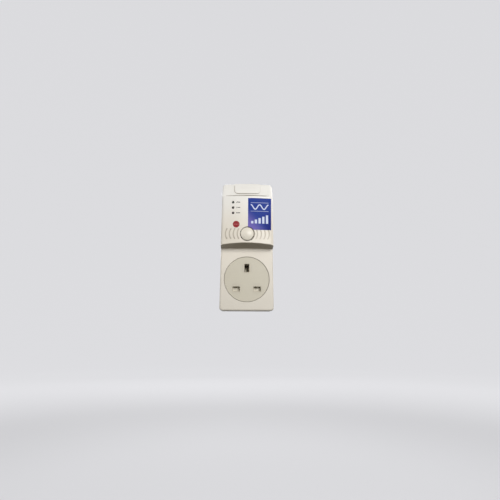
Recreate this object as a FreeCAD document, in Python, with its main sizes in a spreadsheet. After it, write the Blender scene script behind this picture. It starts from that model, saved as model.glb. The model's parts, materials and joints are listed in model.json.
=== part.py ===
import FreeCAD, Part
import math
import os

import Sketcher

from FreeCAD import Placement, Rotation, Vector

# A plug-through voltage protector for a fridge or freezer, in millimetres.
# X runs to the right, Y towards the wall and Z up. The origin is on the plug face,
# midway between the line pin and the neutral pin.
# A depth is measured forwards from the plug face, so depth d lies at Y = -d.
# A height is measured up from the bottom of the case.

SIZES = {
    # case
    "case_height": 134.5,
    "case_width_bottom": 57.5,
    "case_width_top": 52.8,
    "case_wall": 2.4,
    "pin_line_height": 90.8,
    "lower_depth": 38.0,
    "split_depth": 14.0,
    "corner_radius": 3.2,
    "front_edge_radius": 1.8,
    "rear_edge_radius": 1.0,
    "tongue_height": 2.0,
    "tongue_inset": 1.4,
    "seam_gap": 0.15,
    "seam_groove_width": 0.5,
    "seam_groove_depth": 0.35,
    # hood
    "shelf_height": 65.8,
    "lip_rise": 3.8,
    "lip_arch": 1.7,
    "lip_radius": 1.1,
    "hood_depth": 56.0,
    "hood_bow": 3.0,
    "hood_side_radius": 4.0,
    "hood_top_radius": 2.4,
    "crease_drop": 14.6,
    "cap_lean": 9.0,
    "crease_groove_width": 0.6,
    "crease_groove_depth": 0.5,
    "pad_width": 27.0,
    "pad_drop": 12.3,
    "pad_rise": 0.8,
    "pad_corner_radius": 3.8,
    # push button and the grip grooves beside it
    "button_above_lip": 9.4,
    "button_radius": 6.8,
    "button_gap": 0.7,
    "button_rise": 2.2,
    "button_edge_rise": 0.5,
    "button_wall": 1.6,
    "button_skirt": 6.4,
    "button_stem_radius": 1.9,
    "button_travel": 1.5,
    "ear_reach": 1.5,
    "ear_width": 4.0,
    "ear_thickness": 1.3,
    "button_stop_gap": 0.1,
    "groove_first": 10.5,
    "groove_pitch": 4.1,
    "groove_length": 11.0,
    "groove_width": 1.4,
    "groove_depth": 0.8,
    "groove_bend_radius": 9.5,
    # indicator lamps and label
    "lamp_offset": 15.0,
    "lamp_below_crease": 7.4,
    "lamp_pitch": 5.65,
    "lamp_radius": 1.25,
    "lamp_gap": 0.12,
    "lamp_rise": 0.5,
    "lamp_flange_radius": 1.7,
    "lamp_flange_height": 0.9,
    "lamp_body_length": 6.0,
    "lamp_lead_width": 0.5,
    "label_left": 0.6,
    "label_width": 24.4,
    "label_above_lip": 13.7,
    "label_top_gap": 2.8,
    "label_recess": 0.25,
    "label_rise": 0.05,
    "label_gap": 0.1,
    # outlet
    "outlet_line_height": 22.9,
    "outlet_centre_height": 33.2,
    "insert_radius": 23.8,
    "insert_gap": 0.3,
    "insert_edge_radius": 0.35,
    "insert_flange_radius": 25.0,
    "insert_flange_thickness": 2.0,
    "insert_thickness": 5.5,
    "tunnel_margin": 5.2,
    "rail_width": 1.3,
    "earth_slot_width": 4.7,
    "earth_slot_height": 8.5,
    "live_slot_width": 7.3,
    "live_slot_height": 4.9,
    "slot_chamfer": 0.4,
    "shutter_thickness": 3.0,
    "shutter_gap": 0.2,
    "shutter_half_width": 16.2,
    "shutter_cover": 0.8,
    "shutter_travel": 6.5,
    "shutter_stem_width": 6.0,
    "ramp_width": 3.8,
    "spring_seat_drop": 15.3,
    "spring_seat_thickness": 1.8,
    "shutter_spring_radius": 1.4,
    "shutter_spring_wire": 0.4,
    # contact carrier and contacts
    "carrier_half_width": 17.6,
    "carrier_rear_depth": 12.4,
    "carrier_bottom_drop": 17.1,
    "carrier_top_rise": 9.0,
    "contact_thickness": 0.8,
    "contact_gap": 0.25,
    "contact_leaf_width": 6.0,
    "contact_grip": 0.35,
    "live_leaf_length": 8.2,
    "earth_leaf_length": 6.5,
    "contact_mouth": 1.1,
    "strap_width": 5.6,
    "earth_strap_depth": 13.4,
    "line_strap_depth": 17.4,
    "strap_margin": 3.4,
    "tap_width": 4.6,
    "tap_rise": 8.3,
    "riser_offset": 7.2,
    # plug, with the pin sizes of the standard three flat pin plug
    "pin_spacing": 22.2,
    "earth_rise": 22.2,
    "live_pin_width": 6.35,
    "pin_thickness": 3.97,
    "live_pin_length": 17.7,
    "earth_pin_height": 7.92,
    "earth_pin_length": 22.73,
    "pin_tip_chamfer": 1.4,
    "pin_hole_gap": 0.1,
    "pin_flange_margin": 1.2,
    "pin_flange_thickness": 1.4,
    "sleeve_length": 9.5,
    "sleeve_wall": 0.6,
    "block_depth": 9.0,
    "block_half_width": 17.5,
    "block_bottom_drop": 20.5,
    "block_top_rise": 29.0,
    # fuse and its carrier
    "fuse_length": 25.4,
    "fuse_radius": 3.15,
    "fuse_barrel_radius": 2.95,
    "fuse_cap_length": 5.6,
    "fuse_cap_wall": 0.2,
    "fuse_cap_gap": 0.03,
    "fuse_depth": 6.5,
    "fuse_drop": 2.0,
    "fuse_carrier_length": 29.4,
    "fuse_carrier_width": 9.4,
    "fuse_carrier_recess": 0.4,
    "fuse_carrier_plate": 2.2,
    "fuse_carrier_wall": 1.0,
    "fuse_carrier_gap": 0.15,
    "fuse_side_gap": 0.1,
    "fuse_grip_length": 13.0,
    "fuse_notch_length": 7.0,
    "fuse_notch_width": 2.4,
    "fuse_notch_depth": 1.0,
    "fuse_clip_width": 4.4,
    "fuse_clip_reach": 1.6,
    "fuse_clip_gap": 0.1,
    # circuit board and the parts on it
    "board_depth": 38.4,
    "board_thickness": 1.6,
    "board_half_width": 22.4,
    "board_foot_gap": 1.7,
    "board_top_gap": 2.6,
    "board_post_radius": 2.6,
    "board_screw_offset": 19.4,
    "board_screw_inset": 3.6,
    "board_screw_radius": 1.1,
    "board_screw_head_radius": 2.1,
    "board_screw_head_height": 1.6,
    "board_screw_length": 8.0,
    "relay_width": 24.0,
    "relay_height": 12.7,
    "relay_depth": 15.7,
    "relay_left": 7.9,
    "relay_rise": 2.9,
    "relay_edge_radius": 0.6,
    "film_width": 8.5,
    "film_height": 18.0,
    "film_depth": 15.0,
    "film_left": 21.9,
    "film_rise": 6.1,
    "electrolytic_radius": 4.0,
    "electrolytic_length": 12.0,
    "electrolytic_offset": 12.2,
    "electrolytic_pitch": 9.0,
    "electrolytic_rise": 20.6,
    "varistor_radius": 6.5,
    "varistor_thickness": 4.2,
    "varistor_first": 10.7,
    "varistor_pitch": 6.4,
    "varistor_drop": 10.5,
    "varistor_lead_length": 2.2,
    "chip_width": 19.0,
    "chip_height": 6.4,
    "chip_depth": 3.4,
    "chip_left": 6.0,
    "chip_rise": 15.9,
    "resistor_length": 6.4,
    "resistor_radius": 1.2,
    "resistor_pitch": 3.6,
    "resistor_left": 3.0,
    "resistor_drop": 3.9,
    "resistor_lead_radius": 0.3,
    "resistor_lead_reach": 1.2,
    "resistor_leg_radius": 0.24,
    "diode_length": 5.0,
    "diode_radius": 1.3,
    "diode_pitch": 3.8,
    "diode_rise": 14.7,
    "diode_left": 15.2,
    "switch_width": 9.0,
    "switch_depth": 5.6,
    "switch_bore_radius": 2.2,
    "plunger_radius": 1.7,
    "plunger_length": 4.4,
    "plunger_margin": 0.6,
    "button_spring_radius": 3.6,
    "button_spring_wire": 0.5,
    # housing screws and their bosses
    "screw_top_drop": 8.6,
    "screw_top_offset": 19.6,
    "screw_bottom_rise": 8.2,
    "screw_bottom_offset": 22.2,
    "screw_radius": 1.4,
    "screw_gap": 0.1,
    "screw_length": 16.0,
    "screw_head_radius": 2.9,
    "screw_head_height": 2.0,
    "screw_recess_radius": 3.3,
    "screw_recess_depth": 4.0,
    "boss_radius": 3.4,
    "boss_wall": 1.2,
    "boss_joint_depth": 12.1,
    "carrier_post_radius": 1.5,
    "carrier_post_offset": 16.0,
}

# how many of each repeated piece the object has
LAMPS = ("green_led", "amber_led", "red_led")
GROOVES_PER_SIDE = 4
VARISTORS = 3
ELECTROLYTICS = 2
RESISTORS = 3
DIODES = 4

# how far a cutting tool stands past the face that it opens
PAST = 1.0

# the crossed drive in a screw head, as shares of the head's radius
DRIVE_REACH = 0.55
DRIVE_WIDTH = 0.16

doc = FreeCAD.newDocument("plug_through_protector")
sheet = doc.addObject("Spreadsheet::Sheet", "Sizes")


class Size:
    """A length that carries its value and the sheet formula that it comes from."""

    def __init__(self, value, formula):
        self.value = float(value)
        self.formula = formula

    def __float__(self):
        return self.value

    def __add__(self, other):
        other = as_size(other)
        return Size(self.value + other.value, f"({self.formula} + {other.formula})")

    def __radd__(self, other):
        return as_size(other) + self

    def __sub__(self, other):
        other = as_size(other)
        return Size(self.value - other.value, f"({self.formula} - {other.formula})")

    def __rsub__(self, other):
        return as_size(other) - self

    def __mul__(self, other):
        other = as_size(other)
        return Size(self.value * other.value, f"({self.formula} * {other.formula})")

    def __rmul__(self, other):
        return as_size(other) * self

    def __truediv__(self, other):
        other = as_size(other)
        return Size(self.value / other.value, f"({self.formula} / {other.formula})")

    def __neg__(self):
        return Size(-self.value, f"(0 - {self.formula})")


def as_size(thing):
    """Give a plain number the form of a size."""
    return thing if isinstance(thing, Size) else Size(thing, f"({float(thing):.6f})")


def size(name):
    """Look a driving dimension up in the sheet."""
    return Size(SIZES[name], f"Sizes.{name}")


def fill_sheet():
    """Write every driving dimension into the sheet, under its own name."""
    for row, (name, value) in enumerate(SIZES.items(), start=1):
        sheet.set(f"A{row}", name)
        sheet.set(f"B{row}", str(value))
        sheet.setAlias(f"B{row}", name)
    doc.recompute()


def bind(thing, prop, value):
    """Tie a property of a document object to the sheet."""
    thing.setExpression(prop, as_size(value).formula)


def height_to_z(height):
    """Turn a height above the bottom of the case into Z."""
    return height - size("pin_line_height")


def half_width(height):
    """The half width of the case, which narrows evenly towards its top."""
    bottom = size("case_width_bottom") / 2
    top = size("case_width_top") / 2
    return bottom - (bottom - top) * height / size("case_height")


def lip_height():
    """The height of the hood's lip, where it stands furthest forwards."""
    return size("shelf_height") + size("lip_rise")


def button_height():
    """The height of the push button's middle."""
    return lip_height() + size("button_above_lip")


def crease_height():
    """The height of the crease across the hood."""
    return size("case_height") - size("crease_drop")


def label_bottom_height():
    """The height of the label's lower edge."""
    return lip_height() + size("label_above_lip")


def board_bottom_height():
    """The height of the board's lower edge, just above the hood's floor."""
    return size("shelf_height") + size("case_wall") + size("board_foot_gap")


def board_bottom_z():
    """Z of the board's lower edge."""
    return height_to_z(board_bottom_height())


def board_top_z():
    """Z of the board's upper edge, just below the upper screw bosses."""
    screws = size("case_height") - size("screw_top_drop")
    return height_to_z(screws - size("boss_radius") - size("board_top_gap"))


def long_side(first, second):
    """The long side of a triangle whose other two sides stand square to each other."""
    inner = first * first + second * second
    return Size(math.sqrt(inner.value), f"sqrt({inner.formula})")


def bow_radius(half_chord, rise):
    """The radius of an arc with this half chord and rise."""
    return (half_chord * half_chord + rise * rise) / (rise * 2)


# sketches

PLANES = {
    "XY": Rotation(),
    "XZ": Rotation(Vector(1, 0, 0), 90),
    "YZ": Rotation(Vector(1, 1, 1), 120),
}


def pin_point(drawing, index, end, x, y):
    """Tie one point of a sketch to its two coordinates."""
    for kind, axis, value in (("DistanceX", -2, x), ("DistanceY", -1, y)):
        value = as_size(value)
        if value.value == 0:
            drawing.addConstraint(Sketcher.Constraint("PointOnObject", index, end, axis))
            continue
        row = drawing.addConstraint(Sketcher.Constraint(kind, -1, 1, index, end, value.value))
        drawing.setExpression(f"Constraints[{row}]", value.formula)


def draw_circle(drawing, x, y, radius):
    """Draw a circle whose centre and radius are tied to the sheet."""
    x, y, radius = as_size(x), as_size(y), as_size(radius)
    centre = Vector(x.value, y.value, 0)
    index = drawing.addGeometry(Part.Circle(centre, Vector(0, 0, 1), radius.value), False)
    pin_point(drawing, index, 3, x, y)
    row = drawing.addConstraint(Sketcher.Constraint("Radius", index, radius.value))
    drawing.setExpression(f"Constraints[{row}]", radius.formula)


def arc_through(start, end, radius, turn):
    """An arc from start to end; turn is 1 where it runs anticlockwise and -1 where it runs clockwise."""
    chord = end - start
    middle = (start + end) * 0.5
    side = Vector(-chord.y, chord.x, 0)
    side.normalize()
    reach = math.sqrt(max(radius**2 - (chord.Length / 2) ** 2, 0))
    centre = middle + side * (reach * turn)
    first, last = (start, end) if turn > 0 else (end, start)
    first_angle = math.atan2(first.y - centre.y, first.x - centre.x)
    last_angle = math.atan2(last.y - centre.y, last.x - centre.x)
    circle = Part.Circle(centre, Vector(0, 0, 1), radius)
    return Part.ArcOfCircle(circle, first_angle, last_angle)


def draw_outline(drawing, corners):
    """Draw a closed outline; a corner (x, y, radius, turn) starts an arc to the next corner."""
    spots = [Vector(as_size(corner[0]).value, as_size(corner[1]).value, 0) for corner in corners]
    count = len(corners)
    first = drawing.GeometryCount
    ends = []
    for number, corner in enumerate(corners):
        start, end = spots[number], spots[(number + 1) % count]
        if len(corner) == 2:
            drawing.addGeometry(Part.LineSegment(start, end), False)
            ends.append((1, 2))
        else:
            drawing.addGeometry(arc_through(start, end, as_size(corner[2]).value, corner[3]), False)
            ends.append((1, 2) if corner[3] > 0 else (2, 1))
    for number, corner in enumerate(corners):
        following = (number + 1) % count
        joint = (first + number, ends[number][1], first + following, ends[following][0])
        drawing.addConstraint(Sketcher.Constraint("Coincident", *joint))
    for number, corner in enumerate(corners):
        pin_point(drawing, first + number, ends[number][0], corner[0], corner[1])
        if len(corner) > 2:
            radius = as_size(corner[2])
            row = drawing.addConstraint(Sketcher.Constraint("Radius", first + number, radius.value))
            drawing.setExpression(f"Constraints[{row}]", radius.formula)


def draw(drawing, loops):
    """Draw loops: ("circle", x, y, radius), or a list of corners."""
    for loop in loops:
        if loop[0] == "circle":
            draw_circle(drawing, *loop[1:])
        else:
            draw_outline(drawing, loop)


def sketch(name, plane, loops, lift=0):
    """Make a sketch on a plane through the origin, or lifted off it along the plane's axis."""
    drawing = doc.addObject("Sketcher::SketchObject", name)
    drawing.Placement = Placement(Vector(0, 0, 0), PLANES[plane])
    axis, sign = {"XY": ("z", 1), "XZ": ("y", -1), "YZ": ("x", 1)}[plane]
    bind(drawing, f"Placement.Base.{axis}", as_size(lift) * sign)
    draw(drawing, loops)
    return drawing


# solids from sketches and primitives


def prism(name, plane, loops, start, end):
    """Extrude loops along the plane's axis, from start to end. On XZ the axis is the depth."""
    drawing = sketch(name + "_outline", plane, loops, start)
    solid = doc.addObject("Part::Extrusion", name)
    solid.Base = drawing
    solid.DirMode = "Normal"
    solid.Solid = True
    bind(solid, "LengthFwd", as_size(end) - start)
    return solid


def loft(name, drawings):
    """Join sketches by straight rules into one solid."""
    solid = doc.addObject("Part::Loft", name)
    solid.Sections = drawings
    solid.Solid = True
    solid.Ruled = True
    return solid


def box(name, left, right, near, far, bottom, top):
    """A box between two X values, two depths and two Z values."""
    solid = doc.addObject("Part::Box", name)
    bind(solid, "Length", as_size(right) - left)
    bind(solid, "Width", as_size(far) - near)
    bind(solid, "Height", as_size(top) - bottom)
    bind(solid, "Placement.Base.x", left)
    bind(solid, "Placement.Base.y", -as_size(far))
    bind(solid, "Placement.Base.z", bottom)
    return solid


def rod(name, x, z, radius, near, far):
    """A round bar along the depth, from near to far."""
    solid = doc.addObject("Part::Cylinder", name)
    solid.Placement = Placement(Vector(0, 0, 0), PLANES["XZ"])
    bind(solid, "Radius", radius)
    bind(solid, "Height", as_size(far) - near)
    bind(solid, "Placement.Base.x", x)
    bind(solid, "Placement.Base.y", -as_size(near))
    bind(solid, "Placement.Base.z", z)
    return solid


def bar(name, axis, x, depth, z, radius, length):
    """A round bar that starts at a point and runs along +X or +Z."""
    solid = doc.addObject("Part::Cylinder", name)
    turn = Rotation(Vector(0, 1, 0), 90) if axis == "X" else Rotation()
    solid.Placement = Placement(Vector(0, 0, 0), turn)
    bind(solid, "Radius", radius)
    bind(solid, "Height", length)
    bind(solid, "Placement.Base.x", x)
    bind(solid, "Placement.Base.y", -as_size(depth))
    bind(solid, "Placement.Base.z", z)
    return solid


def fuse(name, parts):
    """Join solids into one."""
    solid = doc.addObject("Part::MultiFuse", name)
    solid.Shapes = parts
    solid.Refine = True
    return solid


def cut(name, base, tools):
    """Take tools away from a base."""
    solid = doc.addObject("Part::Cut", name)
    solid.Base = base
    solid.Tool = tools[0] if len(tools) == 1 else group(name + "_tools", tools)
    solid.Refine = True
    return solid


def common(name, first, second):
    """Keep what two solids share."""
    solid = doc.addObject("Part::Common", name)
    solid.Base = first
    solid.Tool = second
    return solid


def group(name, parts):
    """Hold separate solids together as one piece."""
    solid = doc.addObject("Part::Compound", name)
    solid.Links = parts
    return solid


def rounded(name, base, choices):
    """Round edges: choices are pairs of a radius and a test on an edge's two ends."""
    doc.recompute()
    edges = []
    for number, edge in enumerate(base.Shape.Edges, start=1):
        ends = [edge.valueAt(edge.FirstParameter), edge.valueAt(edge.LastParameter)]
        middle = edge.valueAt((edge.FirstParameter + edge.LastParameter) / 2)
        for radius, chosen in choices:
            if chosen(ends[0], ends[1], middle):
                edges.append((number, float(radius), float(radius)))
                break
    solid = doc.addObject("Part::Fillet", name)
    solid.Base = base
    solid.Edges = edges
    doc.recompute()
    return solid


def runs_in_depth(first, last):
    """True where an edge runs straight along the depth."""
    return abs(first.x - last.x) < 1e-4 and abs(first.z - last.z) < 1e-4


def at_depth(depth, *points):
    """True where all points lie at one depth."""
    return all(abs(point.y + float(depth)) < 1e-4 for point in points)


# parametric bodies


def origin_plane(body, plane):
    """Find one of a body's own origin planes."""
    return [item for item in body.Origin.OriginFeatures if item.Role == f"{plane}_Plane"][0]


def body_sketch(body, name, plane, loops, lift=0):
    """Draw a sketch on one of a body's origin planes."""
    drawing = body.newObject("Sketcher::SketchObject", name)
    drawing.AttachmentSupport = (origin_plane(body, plane), [""])
    drawing.MapMode = "FlatFace"
    bind(drawing, "AttachmentOffset.Base.z", lift)
    draw(drawing, loops)
    return drawing


def new_body(name):
    """Start a body."""
    return doc.addObject("PartDesign::Body", name)


def pad(body, name, loops, start, end):
    """Add material between two depths."""
    drawing = body_sketch(body, name + "_outline", "XZ", loops, start)
    feature = body.newObject("PartDesign::Pad", name)
    feature.Profile = drawing
    bind(feature, "Length", as_size(end) - start)
    doc.recompute()
    return feature


def pocket(body, name, loops, start, end):
    """Take material away between two depths."""
    drawing = body_sketch(body, name + "_outline", "XZ", loops, start)
    before = body.Shape.Volume
    feature = body.newObject("PartDesign::Pocket", name)
    feature.Profile = drawing
    feature.Reversed = True
    bind(feature, "Length", as_size(end) - start)
    doc.recompute()
    if body.Shape.Volume > before - 1e-6:
        raise RuntimeError(f"{name} cuts nothing")
    return feature


def turned(body, name, plane, corners, lift=0):
    """Turn a closed outline about the vertical axis of its sketch."""
    drawing = body_sketch(body, name + "_outline", plane, [corners], lift)
    feature = body.newObject("PartDesign::Revolution", name)
    feature.Profile = drawing
    feature.ReferenceAxis = (drawing, ["V_Axis"])
    feature.Angle = 360
    doc.recompute()
    return feature


# outlines


def rectangle(left, right, bottom, top):
    """The four corners of a rectangle."""
    return [(left, bottom), (right, bottom), (right, top), (left, top)]


def case_outline(inset):
    """The case seen from the front, drawn in by an inset."""
    top = size("case_height") - inset
    low, high = half_width(as_size(inset)) - inset, half_width(top) - inset
    bottom_z, top_z = height_to_z(as_size(inset)), height_to_z(top)
    return [(-low, bottom_z), (low, bottom_z), (high, top_z), (-high, top_z)]


def screw_places():
    """X and Z of the four housing screws."""
    top = height_to_z(size("case_height") - size("screw_top_drop"))
    bottom = height_to_z(size("screw_bottom_rise"))
    places = []
    for side in (-1, 1):
        places.append((size("screw_top_offset") * side, top))
        places.append((size("screw_bottom_offset") * side, bottom))
    return places


def board_screw_places():
    """X and Z of the four board screws."""
    low = board_bottom_z() + size("board_screw_inset")
    high = board_top_z() - size("board_screw_inset")
    return [(size("board_screw_offset") * side, z) for side in (-1, 1) for z in (low, high)]


def carrier_post_places():
    """X and Z of the posts that press the contact carrier forwards."""
    low = height_to_z(size("outlet_line_height")) - size("carrier_bottom_drop") / 2
    high = outlet_earth_z() + size("carrier_top_rise") / 2
    return [(size("carrier_post_offset") * side, z) for side in (-1, 1) for z in (low, high)]


def outlet_line_z():
    """Z of the outlet's line and neutral slots."""
    return height_to_z(size("outlet_line_height"))


def outlet_earth_z():
    """Z of the outlet's earth slot."""
    return outlet_line_z() + size("earth_rise")


def live_offset():
    """X of the line side, on the plug and on the outlet."""
    return size("pin_spacing") / 2


# the case


def hood_section(name, inset, height, depth):
    """A level cut through the hood: straight sides and a bowed front."""
    wide = half_width(height) - inset
    bow = size("hood_bow")
    shoulder = -(depth - bow)
    corners = [
        (-wide, -size("split_depth")),
        (-wide, shoulder, bow_radius(wide, bow), 1),
        (wide, shoulder),
        (wide, -size("split_depth")),
    ]
    return sketch(name, "XY", [corners], height_to_z(height))


def hood_form(name, inset):
    """The hood above its underside, with the crease and the leaning cap; inset gives its inside."""
    inset = as_size(inset)
    depth = size("hood_depth") - inset
    drop, lean = size("crease_drop"), size("cap_lean")
    slope = long_side(drop, lean)
    top = size("case_height") - inset
    crease = size("case_height") - drop - inset * (slope - drop) / lean
    top_depth = depth - lean * (1 - inset / drop) - inset * (slope / drop - 1)
    start = size("shelf_height") + inset
    sections = [
        hood_section(name + "_foot", inset, start, depth),
        hood_section(name + "_crease", inset, crease, depth),
        hood_section(name + "_cap", inset, top, top_depth),
    ]
    return cut(name, loft(name + "_block", sections), [underside(name + "_underside", inset)])


def underside(name, inset):
    """What lies below the hood: straight where it meets the lower face, arched at the lip."""
    near = size("lower_depth") - inset
    far = size("hood_depth") + PAST
    reach = size("case_width_bottom")
    slope = (far - near) / (size("hood_depth") - near)
    shelf = size("shelf_height") + inset
    lip = shelf + (size("lip_rise")) * slope
    spread = reach / half_width(lip_height())
    arch = size("lip_arch") * spread * spread * slope
    low = height_to_z(as_size(0))
    shelf_z, end_z = height_to_z(shelf), height_to_z(lip - arch)
    back = [(-reach, low), (reach, low), (reach, shelf_z), (-reach, shelf_z)]
    front = [(-reach, low), (reach, low), (reach, end_z, bow_radius(reach, arch), 1), (-reach, end_z)]
    sections = [sketch(name + "_back", "XZ", [back], near), sketch(name + "_front", "XZ", [front], far)]
    return loft(name, sections)


def front_depth(x, height):
    """The depth of the bowed front at an X value and a height below the crease."""
    reach = half_width(height)
    return size("hood_depth") - size("hood_bow") * x * x / (reach * reach)


def cap_depth(x, drop):
    """The depth of the leaning cap at an X value and a distance below the top."""
    lean = size("cap_lean") * (size("crease_drop") - drop) / size("crease_drop")
    return front_depth(x, size("case_height") - drop) - lean


def top_pad(name):
    """The raised pad that runs down from the top edge over the cap."""
    reach = size("pad_width") / 2
    bottom = height_to_z(size("case_height") - size("pad_drop"))
    top = height_to_z(size("case_height"))
    window = prism(name + "_window", "XZ", [rectangle(-reach, reach, bottom, top)],
                   size("lower_depth"), size("hood_depth"))
    corners = rounded(name + "_corners", window, [
        (size("pad_corner_radius"), lambda first, last, middle: runs_in_depth(first, last)
         and middle.z < float(bottom) + PAST),
    ])
    wide = float(reach)
    top_radius = size("hood_top_radius") + size("pad_rise")
    skin = rounded(name + "_skin_rounded", hood_form(name + "_skin", -size("pad_rise")), [
        (top_radius, lambda first, last, middle: middle.z > float(top) + float(size("pad_rise")) - 1e-3
         and -middle.y > float(size("lower_depth")) and abs(first.x - last.x) > wide),
    ])
    return common(name, skin, corners)


def grip_groove(name, side, number):
    """One shallow groove, bent round the button."""
    middle = height_to_z(button_height())
    x = (size("groove_first") + size("groove_pitch") * number) * side
    half = size("groove_length") / 2
    bend = size("groove_bend_radius")
    width = size("groove_width")
    outer, inner = bend + width / 2, bend - width / 2
    swing = bow_drop(bend, half)
    near, far = x - (swing + width / 2) * side, x - (swing - width / 2) * side
    turn = -side
    corners = [
        (far, middle - half, outer, -turn),
        (far, middle + half),
        (near, middle + half, inner, turn),
        (near, middle - half),
    ]
    floor = front_depth(x, button_height()) - size("groove_depth")
    return prism(name, "XZ", [corners], floor, size("hood_depth") + PAST)


def seam_groove():
    """The fine groove round the case where the two shells meet."""
    split, deep = size("split_depth"), size("seam_groove_depth")
    end = split + size("seam_groove_width")
    block = prism("front_seam_block", "XZ", [case_outline(deep)], split - PAST, end + PAST)
    core = rounded("front_seam_core", block, [
        (size("corner_radius") - deep, lambda first, last, middle: runs_in_depth(first, last)),
    ])
    return cut("front_seam_groove", prism("front_seam_slab", "XZ", [case_outline(-PAST)], split, end), [core])


def crease_groove():
    """The fine groove along the crease, under the leaning cap."""
    height = height_to_z(crease_height())
    reach = half_width(crease_height()) - size("hood_side_radius")
    slab = box("front_crease_slab", -reach, reach, size("lower_depth"), size("hood_depth") + PAST,
               height - size("crease_groove_width"), height)
    return cut("front_crease_groove", slab, [hood_form("front_crease_core", size("crease_groove_depth"))])


def bow_drop(radius, half_chord):
    """The rise of an arc, close enough for one much flatter than a half circle."""
    return half_chord * half_chord / (radius * 2) * (1 + half_chord * half_chord / (radius * radius * 4))


def front_housing():
    """The front shell: hood, lower face, bosses and openings."""
    split, wall = size("split_depth"), size("case_wall")
    radius = size("corner_radius")
    corner = (radius, lambda first, last, middle: runs_in_depth(first, last))
    lower_top = size("shelf_height") + wall
    low, high = half_width(as_size(0)), half_width(lower_top)
    bottom_z, top_z = height_to_z(as_size(0)), height_to_z(lower_top)
    lower_corners = [(-low, bottom_z), (low, bottom_z), (high, top_z), (-high, top_z)]
    lower_block = prism("front_lower", "XZ", [lower_corners], split, size("lower_depth"))
    lower = rounded("front_lower_rounded", lower_block, [
        (radius, lambda first, last, middle: runs_in_depth(first, last)
         and middle.z < float(bottom_z) + PAST),
        (size("front_edge_radius"), lambda first, last, middle: at_depth(size("lower_depth"), first, last)
         and middle.z < float(top_z) - PAST),
    ])
    hood = hood_form("front_hood", 0)
    quarter = float(size("case_width_top")) / 4
    rise = float(size("lip_rise"))
    hood_near = float(size("lower_depth")) - rise
    top_edge = float(height_to_z(size("case_height")))
    lip_z = float(height_to_z(lip_height()))
    hood_rounded = rounded("front_hood_rounded", hood, [
        (radius, lambda first, last, middle: runs_in_depth(first, last) and middle.z > top_edge - PAST),
        (size("hood_side_radius"), lambda first, last, middle: abs(first.x - last.x) < quarter
         and abs(middle.x) > quarter and abs(first.z - last.z) > rise and -middle.y > hood_near),
        (size("hood_top_radius"), lambda first, last, middle: middle.z > top_edge - 1e-3
         and -middle.y > hood_near and abs(first.x - last.x) > quarter),
        (size("lip_radius"), lambda first, last, middle: -middle.y > float(size("hood_depth")) - PAST
         and middle.z < lip_z + PAST and abs(first.x - last.x) > quarter),
    ])
    outer = fuse("front_outer", [lower, hood_rounded, top_pad("front_pad")])
    cavity = prism("front_cavity", "XZ", [case_outline(wall)], split, size("lower_depth") - wall)
    rebate = prism("front_rebate", "XZ", [case_outline(size("tongue_inset"))], split,
                   split + size("tongue_height") + size("seam_gap"))
    shell = cut("front_shell", outer, [cavity, rebate, hood_form("front_hood_cavity", wall)])
    bosses = []
    for number, (x, z) in enumerate(screw_places()):
        far = size("lower_depth") - wall / 2
        if z.value > 0:
            reach = size("boss_radius")
            far = cap_depth(size("screw_top_offset") + reach, size("screw_top_drop") - reach) - wall / 2
        bosses.append(rod(f"front_boss_{number}", x, z, size("boss_radius"), size("boss_joint_depth"), far))
    for number, (x, z) in enumerate(board_screw_places()):
        near = size("board_depth") + size("board_thickness")
        far = front_depth(x, lip_height()) - wall / 2
        bosses.append(rod(f"front_post_{number}", x, z, size("board_post_radius"), near, far))
    solid = fuse("front_solid", [shell] + bosses)
    tools = [rod("front_outlet_hole", as_size(0), height_to_z(size("outlet_centre_height")),
                 size("insert_radius") + size("insert_gap"), size("lower_depth") - wall * 1.5,
                 size("lower_depth") + PAST)]
    tools.append(rod("front_button_hole", as_size(0), height_to_z(button_height()),
                     size("button_radius") + size("button_gap"), size("hood_depth") - wall * 3,
                     size("hood_depth") + PAST))
    for number, name in enumerate(LAMPS):
        tools.append(rod(f"front_{name}_hole", -size("lamp_offset"), lamp_z(number),
                         size("lamp_radius") + size("lamp_gap"), size("hood_depth") - wall * 3,
                         size("hood_depth") + PAST))
    for side, word in ((-1, "left"), (1, "right")):
        for number in range(GROOVES_PER_SIDE):
            tools.append(grip_groove(f"front_groove_{word}_{number}", side, number))
    tools.append(label_form("front_label_recess", as_size(0), size("label_recess"), size("hood_bow")))
    tools += [seam_groove(), crease_groove()]
    for number, (x, z) in enumerate(screw_places()):
        tools.append(rod(f"front_pilot_{number}", x, z, size("screw_radius") + size("screw_gap") / 2,
                         size("boss_joint_depth") - PAST,
                         size("screw_recess_depth") + size("screw_length") + PAST))
    for number, (x, z) in enumerate(board_screw_places()):
        near = size("board_depth")
        tools.append(rod(f"front_board_pilot_{number}", x, z,
                         size("board_screw_radius") + size("screw_gap") / 2, near,
                         near + size("board_screw_length") + PAST))
    return cut("front_housing", solid, tools)


def lamp_z(number):
    """Z of an indicator lamp, counted from the top."""
    return height_to_z(crease_height() - size("lamp_below_crease") - size("lamp_pitch") * number)


def label_form(name, margin, below, above):
    """A sheet that follows the bowed front, from a little below it to a little above it."""
    left = size("label_left") + margin
    right = size("label_left") + size("label_width") - margin
    bottom = height_to_z(label_bottom_height() + margin)
    top = height_to_z(crease_height() - size("label_top_gap") - margin)
    middle = (label_bottom_height() + crease_height()) / 2
    radius = bow_radius(half_width(middle), size("hood_bow"))
    centre = -(size("hood_depth") - radius)
    outer = rod_upright(name + "_outer", centre, radius + above, bottom, top)
    inner = rod_upright(name + "_inner", centre, radius - below, bottom, top)
    far = size("hood_depth") + above + PAST
    window = box(name + "_window", left, right, size("lower_depth"), far, bottom, top)
    return common(name, cut(name + "_skin", outer, [inner]), window)


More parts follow.
